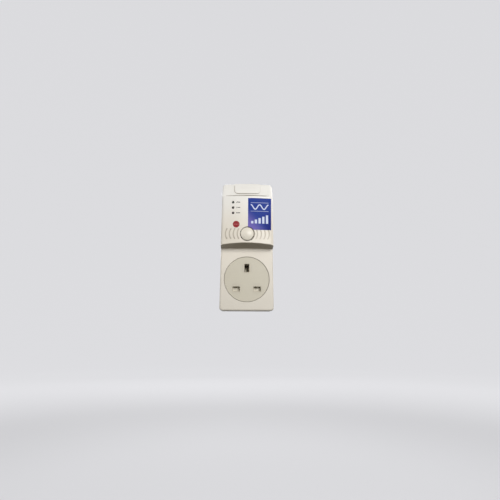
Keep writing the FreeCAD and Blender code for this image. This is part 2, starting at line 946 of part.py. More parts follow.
def rod_upright(name, y, radius, bottom, top):
    """A round bar along Z, centred on X = 0."""
    solid = doc.addObject("Part::Cylinder", name)
    bind(solid, "Radius", radius)
    bind(solid, "Height", as_size(top) - bottom)
    bind(solid, "Placement.Base.y", y)
    bind(solid, "Placement.Base.z", bottom)
    return solid


def pin_window(width, height, x, z, gap):
    """The outline of a pin, widened by a gap."""
    return rectangle(x - width / 2 - gap, x + width / 2 + gap, z - height / 2 - gap, z + height / 2 + gap)


def rear_housing():
    """The rear tray: plug face, pin block, fuse bay and screw bosses."""
    split, wall = size("split_depth"), size("case_wall")
    slab = prism("rear_slab", "XZ", [case_outline(0)], 0, split)
    corners = rounded("rear_corners", slab, [
        (size("corner_radius"), lambda first, last, middle: runs_in_depth(first, last)),
    ])
    outer = rounded("rear_outer", corners, [
        (size("rear_edge_radius"), lambda first, last, middle: at_depth(0, first, last, middle)),
    ])
    tongue = prism("rear_tongue", "XZ", [case_outline(size("tongue_inset") + size("seam_gap"))],
                   split - wall, split + size("tongue_height"))
    cavity = prism("rear_cavity", "XZ", [case_outline(wall)], wall, split + size("tongue_height") + PAST)
    tray = cut("rear_tray", fuse("rear_blank", [outer, tongue]), [cavity])
    added = [tray]
    added.append(box("rear_block", -size("block_half_width"), size("block_half_width"), wall / 2,
                     size("block_depth"), -size("block_bottom_drop"), size("block_top_rise")))
    for number, (x, z) in enumerate(screw_places()):
        added.append(rod(f"rear_boss_{number}", x, z, size("screw_recess_radius") + size("boss_wall"),
                         wall / 2, size("boss_joint_depth")))
    for number, (x, z) in enumerate(carrier_post_places()):
        added.append(rod(f"rear_post_{number}", x, z, size("carrier_post_radius"), wall / 2,
                         size("carrier_rear_depth")))
    solid = fuse("rear_solid", added)
    through = size("block_depth") + PAST
    gap = size("pin_hole_gap")
    tools = [
        prism("rear_line_hole", "XZ", [pin_window(size("live_pin_width"), size("pin_thickness"),
                                                  live_offset(), as_size(0), gap)], -PAST, through),
        prism("rear_neutral_hole", "XZ", [pin_window(size("live_pin_width"), size("pin_thickness"),
                                                     -live_offset(), as_size(0), gap)], -PAST, through),
        prism("rear_earth_hole", "XZ", [pin_window(size("pin_thickness"), size("earth_pin_height"),
                                                   as_size(0), size("earth_rise"), gap)], -PAST, through),
        prism("rear_fuse_bay", "XZ", [pin_window(size("fuse_carrier_width"), size("fuse_carrier_length"),
                                                 as_size(0), -size("fuse_drop"),
                                                 size("fuse_carrier_gap"))], -PAST, through),
    ]
    for number, (x, z) in enumerate(screw_places()):
        tools.append(rod(f"rear_screw_recess_{number}", x, z, size("screw_recess_radius"), -PAST,
                         size("screw_recess_depth")))
        tools.append(rod(f"rear_screw_hole_{number}", x, z, size("screw_radius") + size("screw_gap"),
                         0, size("boss_joint_depth") + PAST))
    return cut("rear_housing", solid, tools)


# the outlet


def socket_insert():
    """The round outlet face with its three slots and the rails that guide the shutter."""
    body = new_body("socket_insert")
    face, wall = size("lower_depth"), size("case_wall")
    centre = height_to_z(size("outlet_centre_height"))
    back = face - size("insert_thickness")
    rail_end = back - size("shutter_thickness") - size("shutter_gap") * 2
    flange_front = face - wall
    pad(body, "insert_disc", [("circle", as_size(0), centre, size("insert_radius"))],
        flange_front - size("insert_flange_thickness"), face)
    rim = body.newObject("PartDesign::Fillet", "insert_rim")
    edges = [f"Edge{number}" for number, edge in enumerate(body.Shape.Edges, start=1)
             if abs(edge.CenterOfMass.y + face.value) < 1e-4]
    rim.Base = (body.getObject("insert_disc"), edges)
    bind(rim, "Radius", size("insert_edge_radius"))
    doc.recompute()
    pad(body, "insert_flange", [("circle", as_size(0), centre, size("insert_flange_radius"))],
        flange_front - size("insert_flange_thickness"), flange_front)
    inner = size("shutter_half_width") + size("shutter_gap")
    outer = inner + size("rail_width")
    top = outlet_earth_z() + size("tunnel_margin")
    bottom = outlet_line_z() - size("tunnel_margin")
    pad(body, "insert_tunnels", [rectangle(-outer, outer, bottom, top)], back, flange_front)
    for side, word in ((-1, "left"), (1, "right")):
        near, far = (-outer, -inner) if side < 0 else (inner, outer)
        pad(body, f"insert_{word}_rail", [rectangle(near, far, bottom, top)], rail_end, back)
    slots = [
        pin_window(size("earth_slot_width"), size("earth_slot_height"), as_size(0), outlet_earth_z(), 0),
        pin_window(size("live_slot_width"), size("live_slot_height"), live_offset(), outlet_line_z(), 0),
        pin_window(size("live_slot_width"), size("live_slot_height"), -live_offset(), outlet_line_z(), 0),
    ]
    pocket(body, "insert_slots", slots, back - PAST, face + PAST)
    mouths = body.newObject("PartDesign::Chamfer", "insert_mouths")
    edges = [f"Edge{number}" for number, edge in enumerate(body.Shape.Edges, start=1)
             if abs(edge.CenterOfMass.y + face.value) < 1e-4 and edge.Length < 10]
    mouths.Base = (body.getObject("insert_slots"), edges)
    bind(mouths, "Size", size("slot_chamfer"))
    doc.recompute()
    return body


def shutter_front():
    """The depth of the shutter's front."""
    return size("lower_depth") - size("insert_thickness") - size("shutter_gap")


def shutter():
    """The sliding shutter: a bar across both lower slots and a ramp that the earth pin pushes down."""
    body = new_body("shutter")
    front = shutter_front()
    back = front - size("shutter_thickness")
    half = size("live_slot_height") / 2 + size("shutter_cover")
    reach = size("shutter_half_width")
    stem = size("shutter_stem_width") / 2
    line = outlet_line_z()
    foot = outlet_earth_z() - size("earth_slot_height") / 2 - size("shutter_gap")
    pad(body, "shutter_bar", [rectangle(-reach, reach, line - half, line + half)], back, front)
    pad(body, "shutter_stem", [rectangle(-stem, stem, line, foot)], back, front)
    rise = size("shutter_travel") + size("shutter_gap") * 2
    ramp = [
        (-back, foot),
        (-back, foot - rise),
        (-(back - rise), foot - rise),
        (-(back - rise), foot + rise),
        (-(back - rise + size("shutter_gap")), foot + rise),
    ]
    drawing = body_sketch(body, "shutter_ramp_outline", "YZ", [ramp], 0)
    feature = body.newObject("PartDesign::Pad", "shutter_ramp")
    feature.Profile = drawing
    feature.Midplane = True
    bind(feature, "Length", size("ramp_width"))
    doc.recompute()
    return body


def shutter_spring():
    """The coil spring that lifts the shutter, between its seat and the shutter's bar."""
    half = size("live_slot_height") / 2 + size("shutter_cover")
    top = outlet_line_z() - half
    bottom = outlet_line_z() - size("spring_seat_drop")
    depth = shutter_front() - size("shutter_thickness") / 2
    outer = bar("shutter_spring_outer", "Z", as_size(0), depth, bottom, size("shutter_spring_radius"),
                top - bottom)
    inner = bar("shutter_spring_inner", "Z", as_size(0), depth, bottom - PAST,
                size("shutter_spring_radius") - size("shutter_spring_wire"), top - bottom + PAST * 2)
    return cut("shutter_spring", outer, [inner])


def carrier_front():
    """The depth of the contact carrier's front, where the insert's rails end."""
    return shutter_front() - size("shutter_thickness") - size("shutter_gap")


def leaf_gap(pin):
    """Half the space between two contact leaves, which is a little less than the pin."""
    return (pin - size("contact_grip")) / 2


def contact_carrier():
    """The moulding behind the shutter that holds the three contacts and the spring seat."""
    front, rear = carrier_front(), size("carrier_rear_depth")
    line, earth = outlet_line_z(), outlet_earth_z()
    reach = size("carrier_half_width")
    bottom, top = line - size("carrier_bottom_drop"), earth + size("carrier_top_rise")
    block = box("carrier_block", -reach, reach, rear, front, bottom, top)
    seat_top = line - size("spring_seat_drop")
    seat = box("carrier_seat", -size("shutter_stem_width") / 2, size("shutter_stem_width") / 2, rear,
               shutter_front(), seat_top - size("spring_seat_thickness"), seat_top)
    gap, sheet_metal = size("contact_gap"), size("contact_thickness")
    mouth = size("contact_mouth")
    cell = leaf_gap(size("pin_thickness")) + sheet_metal + mouth + gap
    wide = size("contact_leaf_width") / 2 + gap
    tail_half = sheet_metal / 2 + gap
    tools = []
    for side, word in ((1, "line"), (-1, "neutral")):
        x = live_offset() * side
        floor = contact_base(size("live_pin_length")) - gap
        tools.append(box(f"carrier_{word}_cell", x - wide, x + wide, floor, front + PAST, line - cell,
                         line + cell))
        tools.append(box(f"carrier_{word}_slot", x - wide, x + wide, rear - PAST, front,
                         line - tail_half, line + tail_half))
    floor = contact_base(size("earth_pin_length")) - gap
    earth_half = size("earth_pin_height") / 2 + gap
    tools.append(box("carrier_earth_cell", -cell, cell, floor, front + PAST, earth - earth_half,
                     earth + earth_half))
    tools.append(box("carrier_earth_slot", -tail_half, tail_half, rear - PAST, front, earth - wide,
                     earth + wide))
    rise = size("shutter_travel") + size("shutter_gap") * 2
    channel = size("ramp_width") / 2 + size("shutter_gap")
    foot = earth - size("earth_slot_height") / 2 - size("shutter_gap")
    tools.append(box("carrier_ramp_channel", -channel, channel,
                     shutter_front() - size("shutter_thickness") - rise - size("shutter_gap"),
                     front + PAST,
                     foot - rise - size("shutter_travel") - size("shutter_gap"), earth))
    return cut("contact_carrier", fuse("carrier_solid", [block, seat]), tools)


def folded(name, plane, path, thickness, middle, width):
    """A flat strip folded square along a path, with its metal on the path's left."""
    count = len(path)
    left = []
    for number, (u, v) in enumerate(path):
        shift_u, shift_v = as_size(0), as_size(0)
        for first in (number - 1, number):
            if first < 0 or first + 1 >= count:
                continue
            run_u = float(as_size(path[first + 1][0])) - float(as_size(path[first][0]))
            run_v = float(as_size(path[first + 1][1])) - float(as_size(path[first][1]))
            if abs(run_u) > abs(run_v):
                shift_v = thickness * (1 if run_u > 0 else -1)
            else:
                shift_u = thickness * (-1 if run_v > 0 else 1)
        left.append((u + shift_u, v + shift_v))
    corners = list(path) + left[::-1]
    return prism(name, plane, [corners], middle - width / 2, middle + width / 2)


def contact_base(pin_length):
    """The depth of a contact's base, just behind the tip of a pin that is fully in."""
    return size("lower_depth") - pin_length - size("contact_gap") - size("contact_thickness")


def live_contact(name, side):
    """A two-leaf contact above and below a live pin."""
    base = contact_base(size("live_pin_length"))
    front = base + size("contact_thickness") + size("live_leaf_length")
    return contact(name, "YZ", outlet_line_z(), base, front, live_offset() * side)


def earth_contact():
    """The earth contact, whose leaves stand left and right of the pin behind the shutter's ramp."""
    base = contact_base(size("earth_pin_length"))
    front = base + size("contact_thickness") + size("earth_leaf_length")
    return contact("earth_contact", "XY", as_size(0), base, front, outlet_earth_z())


def contact(name, plane, middle, base, front, across):
    """Two leaves on a base with flared mouths and a tail, drawn across the pin's thin side."""
    metal, mouth = size("contact_thickness"), size("contact_mouth")
    half, width = leaf_gap(size("pin_thickness")), size("contact_leaf_width")
    tail_end = clip_depth() + metal
    flare = front - mouth

    def spot(depth, rise):
        """A corner at a depth, and at a distance from the contact's middle."""
        return (-as_size(depth), middle + rise) if plane == "YZ" else (middle + rise, -as_size(depth))

    corners = [
        spot(tail_end, -metal / 2),
        spot(base, -metal / 2),
        spot(base, -half - metal),
        spot(flare, -half - metal),
        spot(front, -half - metal - mouth),
        spot(front, -half - mouth),
        spot(flare, -half),
        spot(base + metal, -half),
        spot(base + metal, half),
        spot(flare, half),
        spot(front, half + mouth),
        spot(front, half + metal + mouth),
        spot(flare, half + metal),
        spot(base, half + metal),
        spot(base, metal / 2),
        spot(tail_end, metal / 2),
    ]
    return prism(name, plane, [corners], across - width / 2, across + width / 2)


# the plug


def pin(name, x, z, width, height, length, sleeved):
    """A flat pin with a chamfered tip and a flange inside the case."""
    body = new_body(name)
    depth = size("block_depth")
    flange = depth + size("pin_flange_thickness")
    margin = size("pin_flange_margin")
    pad(body, name + "_flange", [pin_window(width, height, x, z, margin)], depth, flange)
    if sleeved:
        neck = size("sleeve_wall")
        pad(body, name + "_root", [pin_window(width, height, x, z, 0)], 0, depth)
        pad(body, name + "_neck", [pin_window(width, height, x, z, -neck)], -size("sleeve_length"), 0)
        pad(body, name + "_blade", [pin_window(width, height, x, z, 0)], -length, -size("sleeve_length"))
    else:
        pad(body, name + "_blade", [pin_window(width, height, x, z, 0)], -length, depth)
    tip = body.newObject("PartDesign::Chamfer", name + "_tip")
    edges = [f"Edge{number}" for number, edge in enumerate(body.Shape.Edges, start=1)
             if abs(edge.CenterOfMass.y - length.value) < 1e-4]
    tip.Base = (body.getObject(name + "_blade"), edges)
    tip.ChamferType = "Two distances"
    bind(tip, "Size", size("pin_tip_chamfer"))
    bind(tip, "Size2", size("pin_tip_chamfer") / 2)
    doc.recompute()
    return body


def pin_sleeves():
    """The insulating sleeves round the necks of the line and neutral pins."""
    neck = size("sleeve_wall")
    sleeves = []
    for side, word in ((1, "line"), (-1, "neutral")):
        x = live_offset() * side
        outer = pin_window(size("live_pin_width"), size("pin_thickness"), x, as_size(0), 0)
        inner = pin_window(size("live_pin_width"), size("pin_thickness"), x, as_size(0), -neck)
        sleeves.append(prism(f"{word}_sleeve", "XZ", [outer, inner], -size("sleeve_length"), 0))
    return group("pin_sleeves", sleeves)


# the fuse


def fuse_carrier():
    """The drawer in the plug face that holds the fuse and slides out of the back."""
    body = new_body("fuse_carrier")
    face = size("fuse_carrier_recess")
    back = face + size("fuse_carrier_plate")
    middle = -size("fuse_drop")
    wide, tall = size("fuse_carrier_width") / 2, size("fuse_carrier_length") / 2
    grip = size("fuse_grip_length") / 2
    wall = size("fuse_carrier_wall")
    inner = size("fuse_barrel_radius") + size("fuse_side_gap")
    end_inner = size("fuse_length") / 2 + size("fuse_side_gap")
    deep = size("fuse_depth") + size("fuse_radius")
    pad(body, "carrier_plate", [rectangle(-wide, wide, middle - tall, middle + tall)], face, back)
    for side, word in ((-1, "left"), (1, "right")):
        near, far = (-inner - wall, -inner) if side < 0 else (inner, inner + wall)
        pad(body, f"carrier_{word}_wall", [rectangle(near, far, middle - grip, middle + grip)], back, deep)
    pad(body, "carrier_bottom_end", [rectangle(-inner, inner, middle - tall, middle - end_inner)], back,
        deep)
    pad(body, "carrier_top_end", [rectangle(-inner, inner, middle + end_inner, middle + tall)], back, deep)
    wide, tall = size("fuse_notch_width") / 2, size("fuse_notch_length") / 2
    pocket(body, "carrier_notch", [rectangle(-wide, wide, middle - tall, middle + tall)], face - PAST,
           face + size("fuse_notch_depth"))
    return body


def fuse_barrel():
    """The ceramic tube of the fuse."""
    bottom = -size("fuse_drop") - size("fuse_length") / 2 + size("fuse_cap_wall")
    return bar("fuse_barrel", "Z", as_size(0), size("fuse_depth"), bottom, size("fuse_barrel_radius"),
               size("fuse_length") - size("fuse_cap_wall") * 2)


def fuse_caps():
    """The two brass caps of the fuse."""
    start = -size("fuse_drop") - size("fuse_length") / 2
    end = -size("fuse_drop") + size("fuse_length") / 2
    length, wall, depth = size("fuse_cap_length"), size("fuse_cap_wall"), size("fuse_depth")
    radius, bore = size("fuse_radius"), size("fuse_barrel_radius") + size("fuse_cap_gap")
    caps = []
    for word, foot, shift in (("low", start, wall), ("high", end - length, -wall)):
        outer = bar(f"fuse_{word}_cap_outer", "Z", as_size(0), depth, foot, radius, length)
        inner = bar(f"fuse_{word}_cap_bore", "Z", as_size(0), depth, foot + shift, bore, length)
        caps.append(cut(f"fuse_{word}_cap", outer, [inner]))
    return group("fuse_caps", caps)


def clip_form(name, middle, outline):
    """Two legs that grip a fuse cap, on a plate with its own outline."""
    metal = size("contact_thickness")
    inner = size("fuse_radius") + size("fuse_clip_gap")
    base = clip_depth()
    tip = size("fuse_depth") - size("fuse_clip_reach")
    half = size("fuse_clip_width") / 2
    return [
        prism(name + "_plate", "XZ", [outline], base, base + metal),
        box(name + "_left_leg", -inner - metal, -inner, tip, base, middle - half, middle + half),
        box(name + "_right_leg", inner, inner + metal, tip, base, middle - half, middle + half),
    ]


def clip_depth():
    """The depth of the fuse clips' plates, which lie on the line pin's flange."""
    return size("block_depth") + size("pin_flange_thickness")


def clip_reach():
    """How far each fuse clip stands from the middle of the fuse."""
    return size("fuse_length") / 2 - size("fuse_cap_length") / 2


def line_fuse_clip():
    """The lower clip, whose plate turns up onto the flange of the line pin."""
    middle = -size("fuse_drop") - clip_reach()
    half = size("fuse_clip_width") / 2
    left = -size("fuse_radius") - size("fuse_clip_gap") - size("contact_thickness")
    near = live_offset() - size("live_pin_width") / 2
    far = live_offset() + size("live_pin_width") / 2
    top = size("pin_thickness") / 2
    outline = [
        (left, middle - half),
        (far, middle - half),
        (far, top),
        (near, top),
        (near, middle + half),
        (left, middle + half),
    ]
    return fuse("line_fuse_clip", clip_form("line_clip", middle, outline))


def load_fuse_clip():
    """The upper clip, with a riser that feeds the board."""
    middle = -size("fuse_drop") + clip_reach()
    half = size("fuse_clip_width") / 2
    left = -size("fuse_radius") - size("fuse_clip_gap") - size("contact_thickness")
    right = size("riser_offset")
    metal = size("contact_thickness")
    parts = clip_form("load_clip", middle, rectangle(left, right, middle - half, middle + half))
    parts.append(box("load_clip_riser", right - metal, right, clip_depth(), size("board_depth"),
                     middle - half, middle + half))
    return fuse("load_fuse_clip", parts)


# the brass links


def strap(name, path, x):
    """A folded strip of brass along a path of depths and Z values."""
    metal = size("contact_thickness")
    return folded(name, "YZ", [(-depth, z) for depth, z in path], metal, x, size("strap_width"))


def earth_strap():
    """From the outlet's earth contact, over the fuse clips, to the flange of the earth pin."""
    low, high = clip_depth(), size("earth_strap_depth")
    half = size("strap_width") / 2
    first_fold = outlet_earth_z() + size("carrier_top_rise") + size("strap_margin")
    last_fold = size("earth_rise") - size("earth_pin_height") / 2 + size("strap_margin") / 4
    path = [
        (low, outlet_earth_z() - half),
        (low, first_fold),
        (high, first_fold),
        (high, last_fold),
        (low, last_fold),
        (low, size("earth_rise") + size("earth_pin_height") / 2),
    ]
    return strap("earth_strap", path, as_size(0))


def line_strap():
    """From the outlet's line contact up and forwards to the lower edge of the board."""
    low_fold = outlet_earth_z() + size("carrier_top_rise") + size("strap_margin")
    high_fold = board_bottom_z() + size("contact_thickness") * 1.5
    path = [
        (clip_depth(), outlet_line_z() - size("strap_width") / 2),
        (clip_depth(), low_fold),
        (size("line_strap_depth"), low_fold),
        (size("line_strap_depth"), high_fold),
        (size("board_depth"), high_fold),
    ]
    return strap("line_strap", path, live_offset())


def neutral_strap():
    """From the outlet's neutral contact straight up to the flange of the neutral pin."""
    near = clip_depth()
    half = size("strap_width") / 2
    return box("neutral_strap", -live_offset() - half, -live_offset() + half, near,
               near + size("contact_thickness"), outlet_line_z() - half, size("pin_thickness") / 2)


def neutral_tap():
    """A blade from the neutral strap forwards to the board."""
    metal = size("contact_thickness")
    near = clip_depth() + metal
    top = board_bottom_z() + size("tap_rise") + size("tap_width")
    return box("neutral_tap", -live_offset() - metal / 2, -live_offset() + metal / 2, near,
               size("board_depth"), top - size("tap_width"), top)


# the board and its parts


def circuit_board():
    """The board behind the hood's front, with holes for its four screws."""
    half = size("board_half_width")
    outline = rectangle(-half, half, board_bottom_z(), board_top_z())
    holes = [("circle", x, z, size("board_screw_radius") + size("screw_gap"))
             for x, z in board_screw_places()]
    body = new_body("circuit_board")
    pad(body, "board_plate", [outline] + holes, size("board_depth"), board_front())
    return body


def board_front():
    """The depth of the board's front face."""
    return size("board_depth") + size("board_thickness")


def relay():
    """The relay, low on the back of the board."""
    left, bottom = -size("relay_left"), board_bottom_z() + size("relay_rise")
    case = box("relay_case", left, left + size("relay_width"), size("board_depth") - size("relay_depth"),
               size("board_depth"), bottom, bottom + size("relay_height"))
    return rounded("relay", case, [
        (size("relay_edge_radius"), lambda first, last, middle: runs_in_depth(first, last)),
    ])


def film_capacitor():
    """The film capacitor that feeds the electronics."""
    left, bottom = -size("film_left"), board_bottom_z() + size("film_rise")
    return box("film_capacitor", left, left + size("film_width"), size("board_depth") - size("film_depth"),
               size("board_depth"), bottom, bottom + size("film_height"))


def electrolytic_capacitors():
    """Two round cans on the back of the board."""
    cans = []
    for number in range(ELECTROLYTICS):
        z = board_bottom_z() + size("electrolytic_rise") + size("electrolytic_pitch") * number
        foot = size("board_depth")
        cans.append(rod(f"electrolytic_{number}", size("electrolytic_offset"), z,
                        size("electrolytic_radius"), foot - size("electrolytic_length"), foot))
    return group("electrolytic_capacitors", cans)


def varistors():
    """The surge absorbers: three discs on edge, each on two legs."""
    discs = []
    centre = size("board_depth") - size("varistor_lead_length") - size("varistor_radius")
    half, leg = size("varistor_thickness") / 2, size("lamp_lead_width") / 2
    middle = board_top_z() - size("varistor_drop")
    for number in range(VARISTORS):
        x = -size("varistor_first") + size("varistor_pitch") * number
        name = f"varistor_{number}"
        parts = [bar(name + "_disc", "X", x - half, centre, middle, size("varistor_radius"),
                     size("varistor_thickness"))]
        for side, word in ((-1, "low"), (1, "high")):
            z = middle + size("varistor_radius") / 2 * side
            parts.append(box(f"{name}_{word}_leg", x - leg, x + leg, centre, size("board_depth"), z - leg,
                             z + leg))
        discs.append(fuse(name, parts))
    return group("varistors", discs)


def controller_chip():
    """The controller on the front of the board."""
    left, bottom = -size("chip_left"), board_bottom_z() + size("chip_rise")
    return box("controller_chip", left, left + size("chip_width"), board_front(),
               board_front() + size("chip_depth"), bottom, bottom + size("chip_height"))


def leaded(name, left, z, radius, length):
    """A small round part that lies along the board on two bent leads."""
    lead, leg = size("resistor_lead_radius"), size("resistor_leg_radius")
    depth = board_front() + radius + lead
    reach = size("resistor_lead_reach")
    inset = reach - lead - leg
    parts = [
        bar(name + "_body", "X", left, depth, z, radius, length),
        bar(name + "_wire", "X", left - reach, depth, z, lead, length + reach * 2),
        rod(name + "_left_leg", left - inset, z, leg, board_front(), depth),
        rod(name + "_right_leg", left + length + inset, z, leg, board_front(), depth),
    ]
    return fuse(name, parts)


def resistors():
    """A row of resistors on the front of the board."""
    row = []
    for number in range(RESISTORS):
        z = board_top_z() - size("resistor_drop") - size("resistor_pitch") * number
        row.append(leaded(f"resistor_{number}", size("resistor_left"), z, size("resistor_radius"),
                          size("resistor_length")))
    return group("resistors", row)


def rectifier_diodes():
    """The four diodes of the bridge, on the front of the board."""
    row = []
    for number in range(DIODES):
        z = board_bottom_z() + size("diode_rise") + size("diode_pitch") * number
        row.append(leaded(f"diode_{number}", size("diode_left"), z, size("diode_radius"),
                          size("diode_length")))
    return group("rectifier_diodes", row)


def lamp(name, number):
    """An indicator lamp on two leads, with its dome just proud of the hood."""
    x, z = -size("lamp_offset"), lamp_z(number)
    radius = size("lamp_radius")
    dome = front_depth(x, crease_height()) + size("lamp_rise") - radius
    foot = dome - size("lamp_body_length")
    ball = doc.addObject("Part::Sphere", name + "_dome")
    bind(ball, "Radius", radius)
    bind(ball, "Placement.Base.x", x)
    bind(ball, "Placement.Base.y", -dome)
    bind(ball, "Placement.Base.z", z)
    lead = size("lamp_lead_width") / 2
    parts = [
        ball,
        rod(name + "_body", x, z, radius, foot, dome),
        rod(name + "_flange", x, z, size("lamp_flange_radius"), foot, foot + size("lamp_flange_height")),
    ]
    for side, word in ((-1, "left"), (1, "right")):
        middle = x + size("lamp_flange_radius") / 2 * side
        parts.append(box(f"{name}_{word}_lead", middle - lead, middle + lead, board_front(), foot, z - lead,
                         z + lead))
    return fuse(name, parts)


# the push button


def plunger_end():
    """The depth of the plunger's end, where the button's stem meets it."""
    return board_front() + size("switch_depth") + size("button_travel") + size("plunger_margin")


def push_switch():
    """The switch on the board, with a bore for its plunger."""
    half = size("switch_width") / 2
    z = height_to_z(button_height())
    top = board_front() + size("switch_depth")
    case = box("switch_case", -half, half, board_front(), top, z - half, z + half)
    floor = plunger_end() - size("plunger_length") - size("button_travel") - size("button_stop_gap")
    bore = rod("switch_bore", as_size(0), z, size("switch_bore_radius"), floor, top + PAST)
    return cut("push_switch", case, [bore])


def switch_plunger():
    """The plunger that slides in the switch."""
    z = height_to_z(button_height())
    return rod("switch_plunger", as_size(0), z, size("plunger_radius"),
               plunger_end() - size("plunger_length"), plunger_end())


def button_roof():
    """The depth of the roof inside the button, which the spring pushes on."""
    return size("hood_depth") - size("button_wall")


def reset_button():
    """The domed button: a hollow cap with a stem and two ears that stop behind the hood's front."""
    body = new_body("reset_button")
    radius, wall = size("button_radius"), size("button_wall")
    z = height_to_z(button_height())
    apex = size("hood_depth") + size("button_rise")
    rim = size("hood_depth") + size("button_edge_rise")
    skirt = rim - size("button_skirt")
    stem = size("button_stem_radius")
    dome = bow_radius(radius, apex - rim)
    corners = [
        (0, -apex, dome, 1),
        (radius, -rim),
        (radius, -skirt),
        (radius - wall, -skirt),
        (radius - wall, -button_roof()),
        (stem, -button_roof()),
        (stem, -plunger_end()),
        (0, -plunger_end()),
    ]
    turned(body, "button_cap", "XY", corners, z)
    reach = radius + size("ear_reach")
    inner_reach = half_width(button_height()) - size("case_wall")
    front = size("hood_depth") - size("case_wall") - size("button_stop_gap")
    front = front - size("hood_bow") * reach * reach / (inner_reach * inner_reach)
    half = size("ear_width") / 2
    for side, word in ((-1, "left"), (1, "right")):
        near, far = (-reach, -radius + wall / 2) if side < 0 else (radius - wall / 2, reach)
        pad(body, f"button_{word}_ear", [rectangle(near, far, z - half, z + half)],
            front - size("ear_thickness"), front)
    return body


def button_spring():
    """The coil spring round the button's stem, between the switch and the button's roof."""
    z = height_to_z(button_height())
    foot = board_front() + size("switch_depth")
    radius = size("button_spring_radius")
    outer = rod("button_spring_outer", as_size(0), z, radius, foot, button_roof())
    inner = rod("button_spring_inner", as_size(0), z, radius - size("button_spring_wire"), foot - PAST,
                button_roof() + PAST)
    return cut("button_spring", outer, [inner])


# fasteners


def screw(name, x, z, face, head_radius, head_height, shank_radius, length):
    """A round-headed screw that points forwards, with a crossed drive in its head."""
    seat = face + head_height
    head = rod(name + "_head", x, z, head_radius, face, seat)
    shank = rod(name + "_shank", x, z, shank_radius, seat, seat + length)
    arm, slot = head_radius * DRIVE_REACH, head_radius * DRIVE_WIDTH
    drive = face + head_height / 2
    return cut(name, fuse(name + "_blank", [head, shank]), [
        box(name + "_drive_across", x - arm, x + arm, face - PAST, drive, z - slot, z + slot),
        box(name + "_drive_up", x - slot, x + slot, face - PAST, drive, z - arm, z + arm),
    ])


def housing_screws():
    """The four screws that join the two shells from the back."""
    face = size("screw_recess_depth") - size("screw_head_height")
    return group("housing_screws", [
        screw(f"housing_screw_{number}", x, z, face, size("screw_head_radius"), size("screw_head_height"),
              size("screw_radius"), size("screw_length"))
        for number, (x, z) in enumerate(screw_places())
    ])


def board_screws():
    """The four screws that hold the board to the front shell."""
    face = size("board_depth") - size("board_screw_head_height")
    return group("board_screws", [
        screw(f"board_screw_{number}", x, z, face, size("board_screw_head_radius"),
              size("board_screw_head_height"), size("board_screw_radius"), size("board_screw_length"))
        for number, (x, z) in enumerate(board_screw_places())
    ])


def front_label():
    """The printed label in its shallow recess."""
    below = size("label_recess") - size("label_rise")
    sheet_form = label_form("front_label_sheet", size("label_gap"), below, size("label_rise"))
    notch = rod("front_label_notch", as_size(0), height_to_z(button_height()),
                size("button_radius") + size("button_gap") + size("label_gap"), size("lower_depth"),
                size("hood_depth") + PAST)
    return cut("front_label", sheet_form, [notch])


def build():
    """Make every piece, in the order in which the object is put together."""
    live = (size("live_pin_width"), size("pin_thickness"), size("live_pin_length"))
    earth = (size("pin_thickness"), size("earth_pin_height"), size("earth_pin_length"))
    pieces = [rear_housing(), front_housing(), socket_insert(), shutter(), shutter_spring()]
    pieces += [contact_carrier(), live_contact("line_contact", 1), live_contact("neutral_contact", -1)]
    pieces += [earth_contact(), pin("line_pin", live_offset(), as_size(0), *live, True)]
    pieces += [pin("neutral_pin", -live_offset(), as_size(0), *live, True)]
    pieces += [pin("earth_pin", as_size(0), size("earth_rise"), *earth, False), pin_sleeves()]
    pieces += [fuse_carrier(), fuse_barrel(), fuse_caps(), line_fuse_clip(), load_fuse_clip()]
    pieces += [earth_strap(), line_strap(), neutral_strap(), neutral_tap(), circuit_board(), relay()]
    pieces += [film_capacitor(), electrolytic_capacitors(), varistors(), controller_chip(), resistors()]
    pieces += [rectifier_diodes()]
    pieces += [lamp(name, number) for number, name in enumerate(LAMPS)]
    pieces += [push_switch(), switch_plunger(), reset_button(), button_spring(), front_label()]
    pieces += [housing_screws(), board_screws()]
    return pieces


def check(pieces):
    """Stop if any object failed or any piece has no valid solid."""
    doc.recompute()
    for thing in doc.Objects:
        if "Invalid" in thing.State or "Error" in thing.State:
            raise RuntimeError(f"{thing.Name} failed: {thing.State}")
    for piece in pieces:
        if piece.Shape.isNull() or not piece.Shape.isValid() or not piece.Shape.Solids:
            raise RuntimeError(f"{piece.Name} has no valid solid")


def write(pieces):
    """Write each piece to a file of its own name."""
    os.makedirs("parts", exist_ok=True)
    for piece in pieces:
        piece.Label = piece.Name
        piece.Shape.exportStep(f"parts/{piece.Label}.step")
        box_size = piece.Shape.BoundBox
        print(f"{piece.Label}: {len(piece.Shape.Solids)} solids, {piece.Shape.Volume:.1f} mm3, "
              f"{box_size.XLength:.2f} x {box_size.YLength:.2f} x {box_size.ZLength:.2f}")


fill_sheet()
made = build()
check(made)
write(made)
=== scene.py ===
"""Finishes and fine pieces for a plug-through appliance protector."""

import functools
import json
import math

import bmesh
import bpy
from mathutils import Matrix, Vector
from mathutils.bvhtree import BVHTree

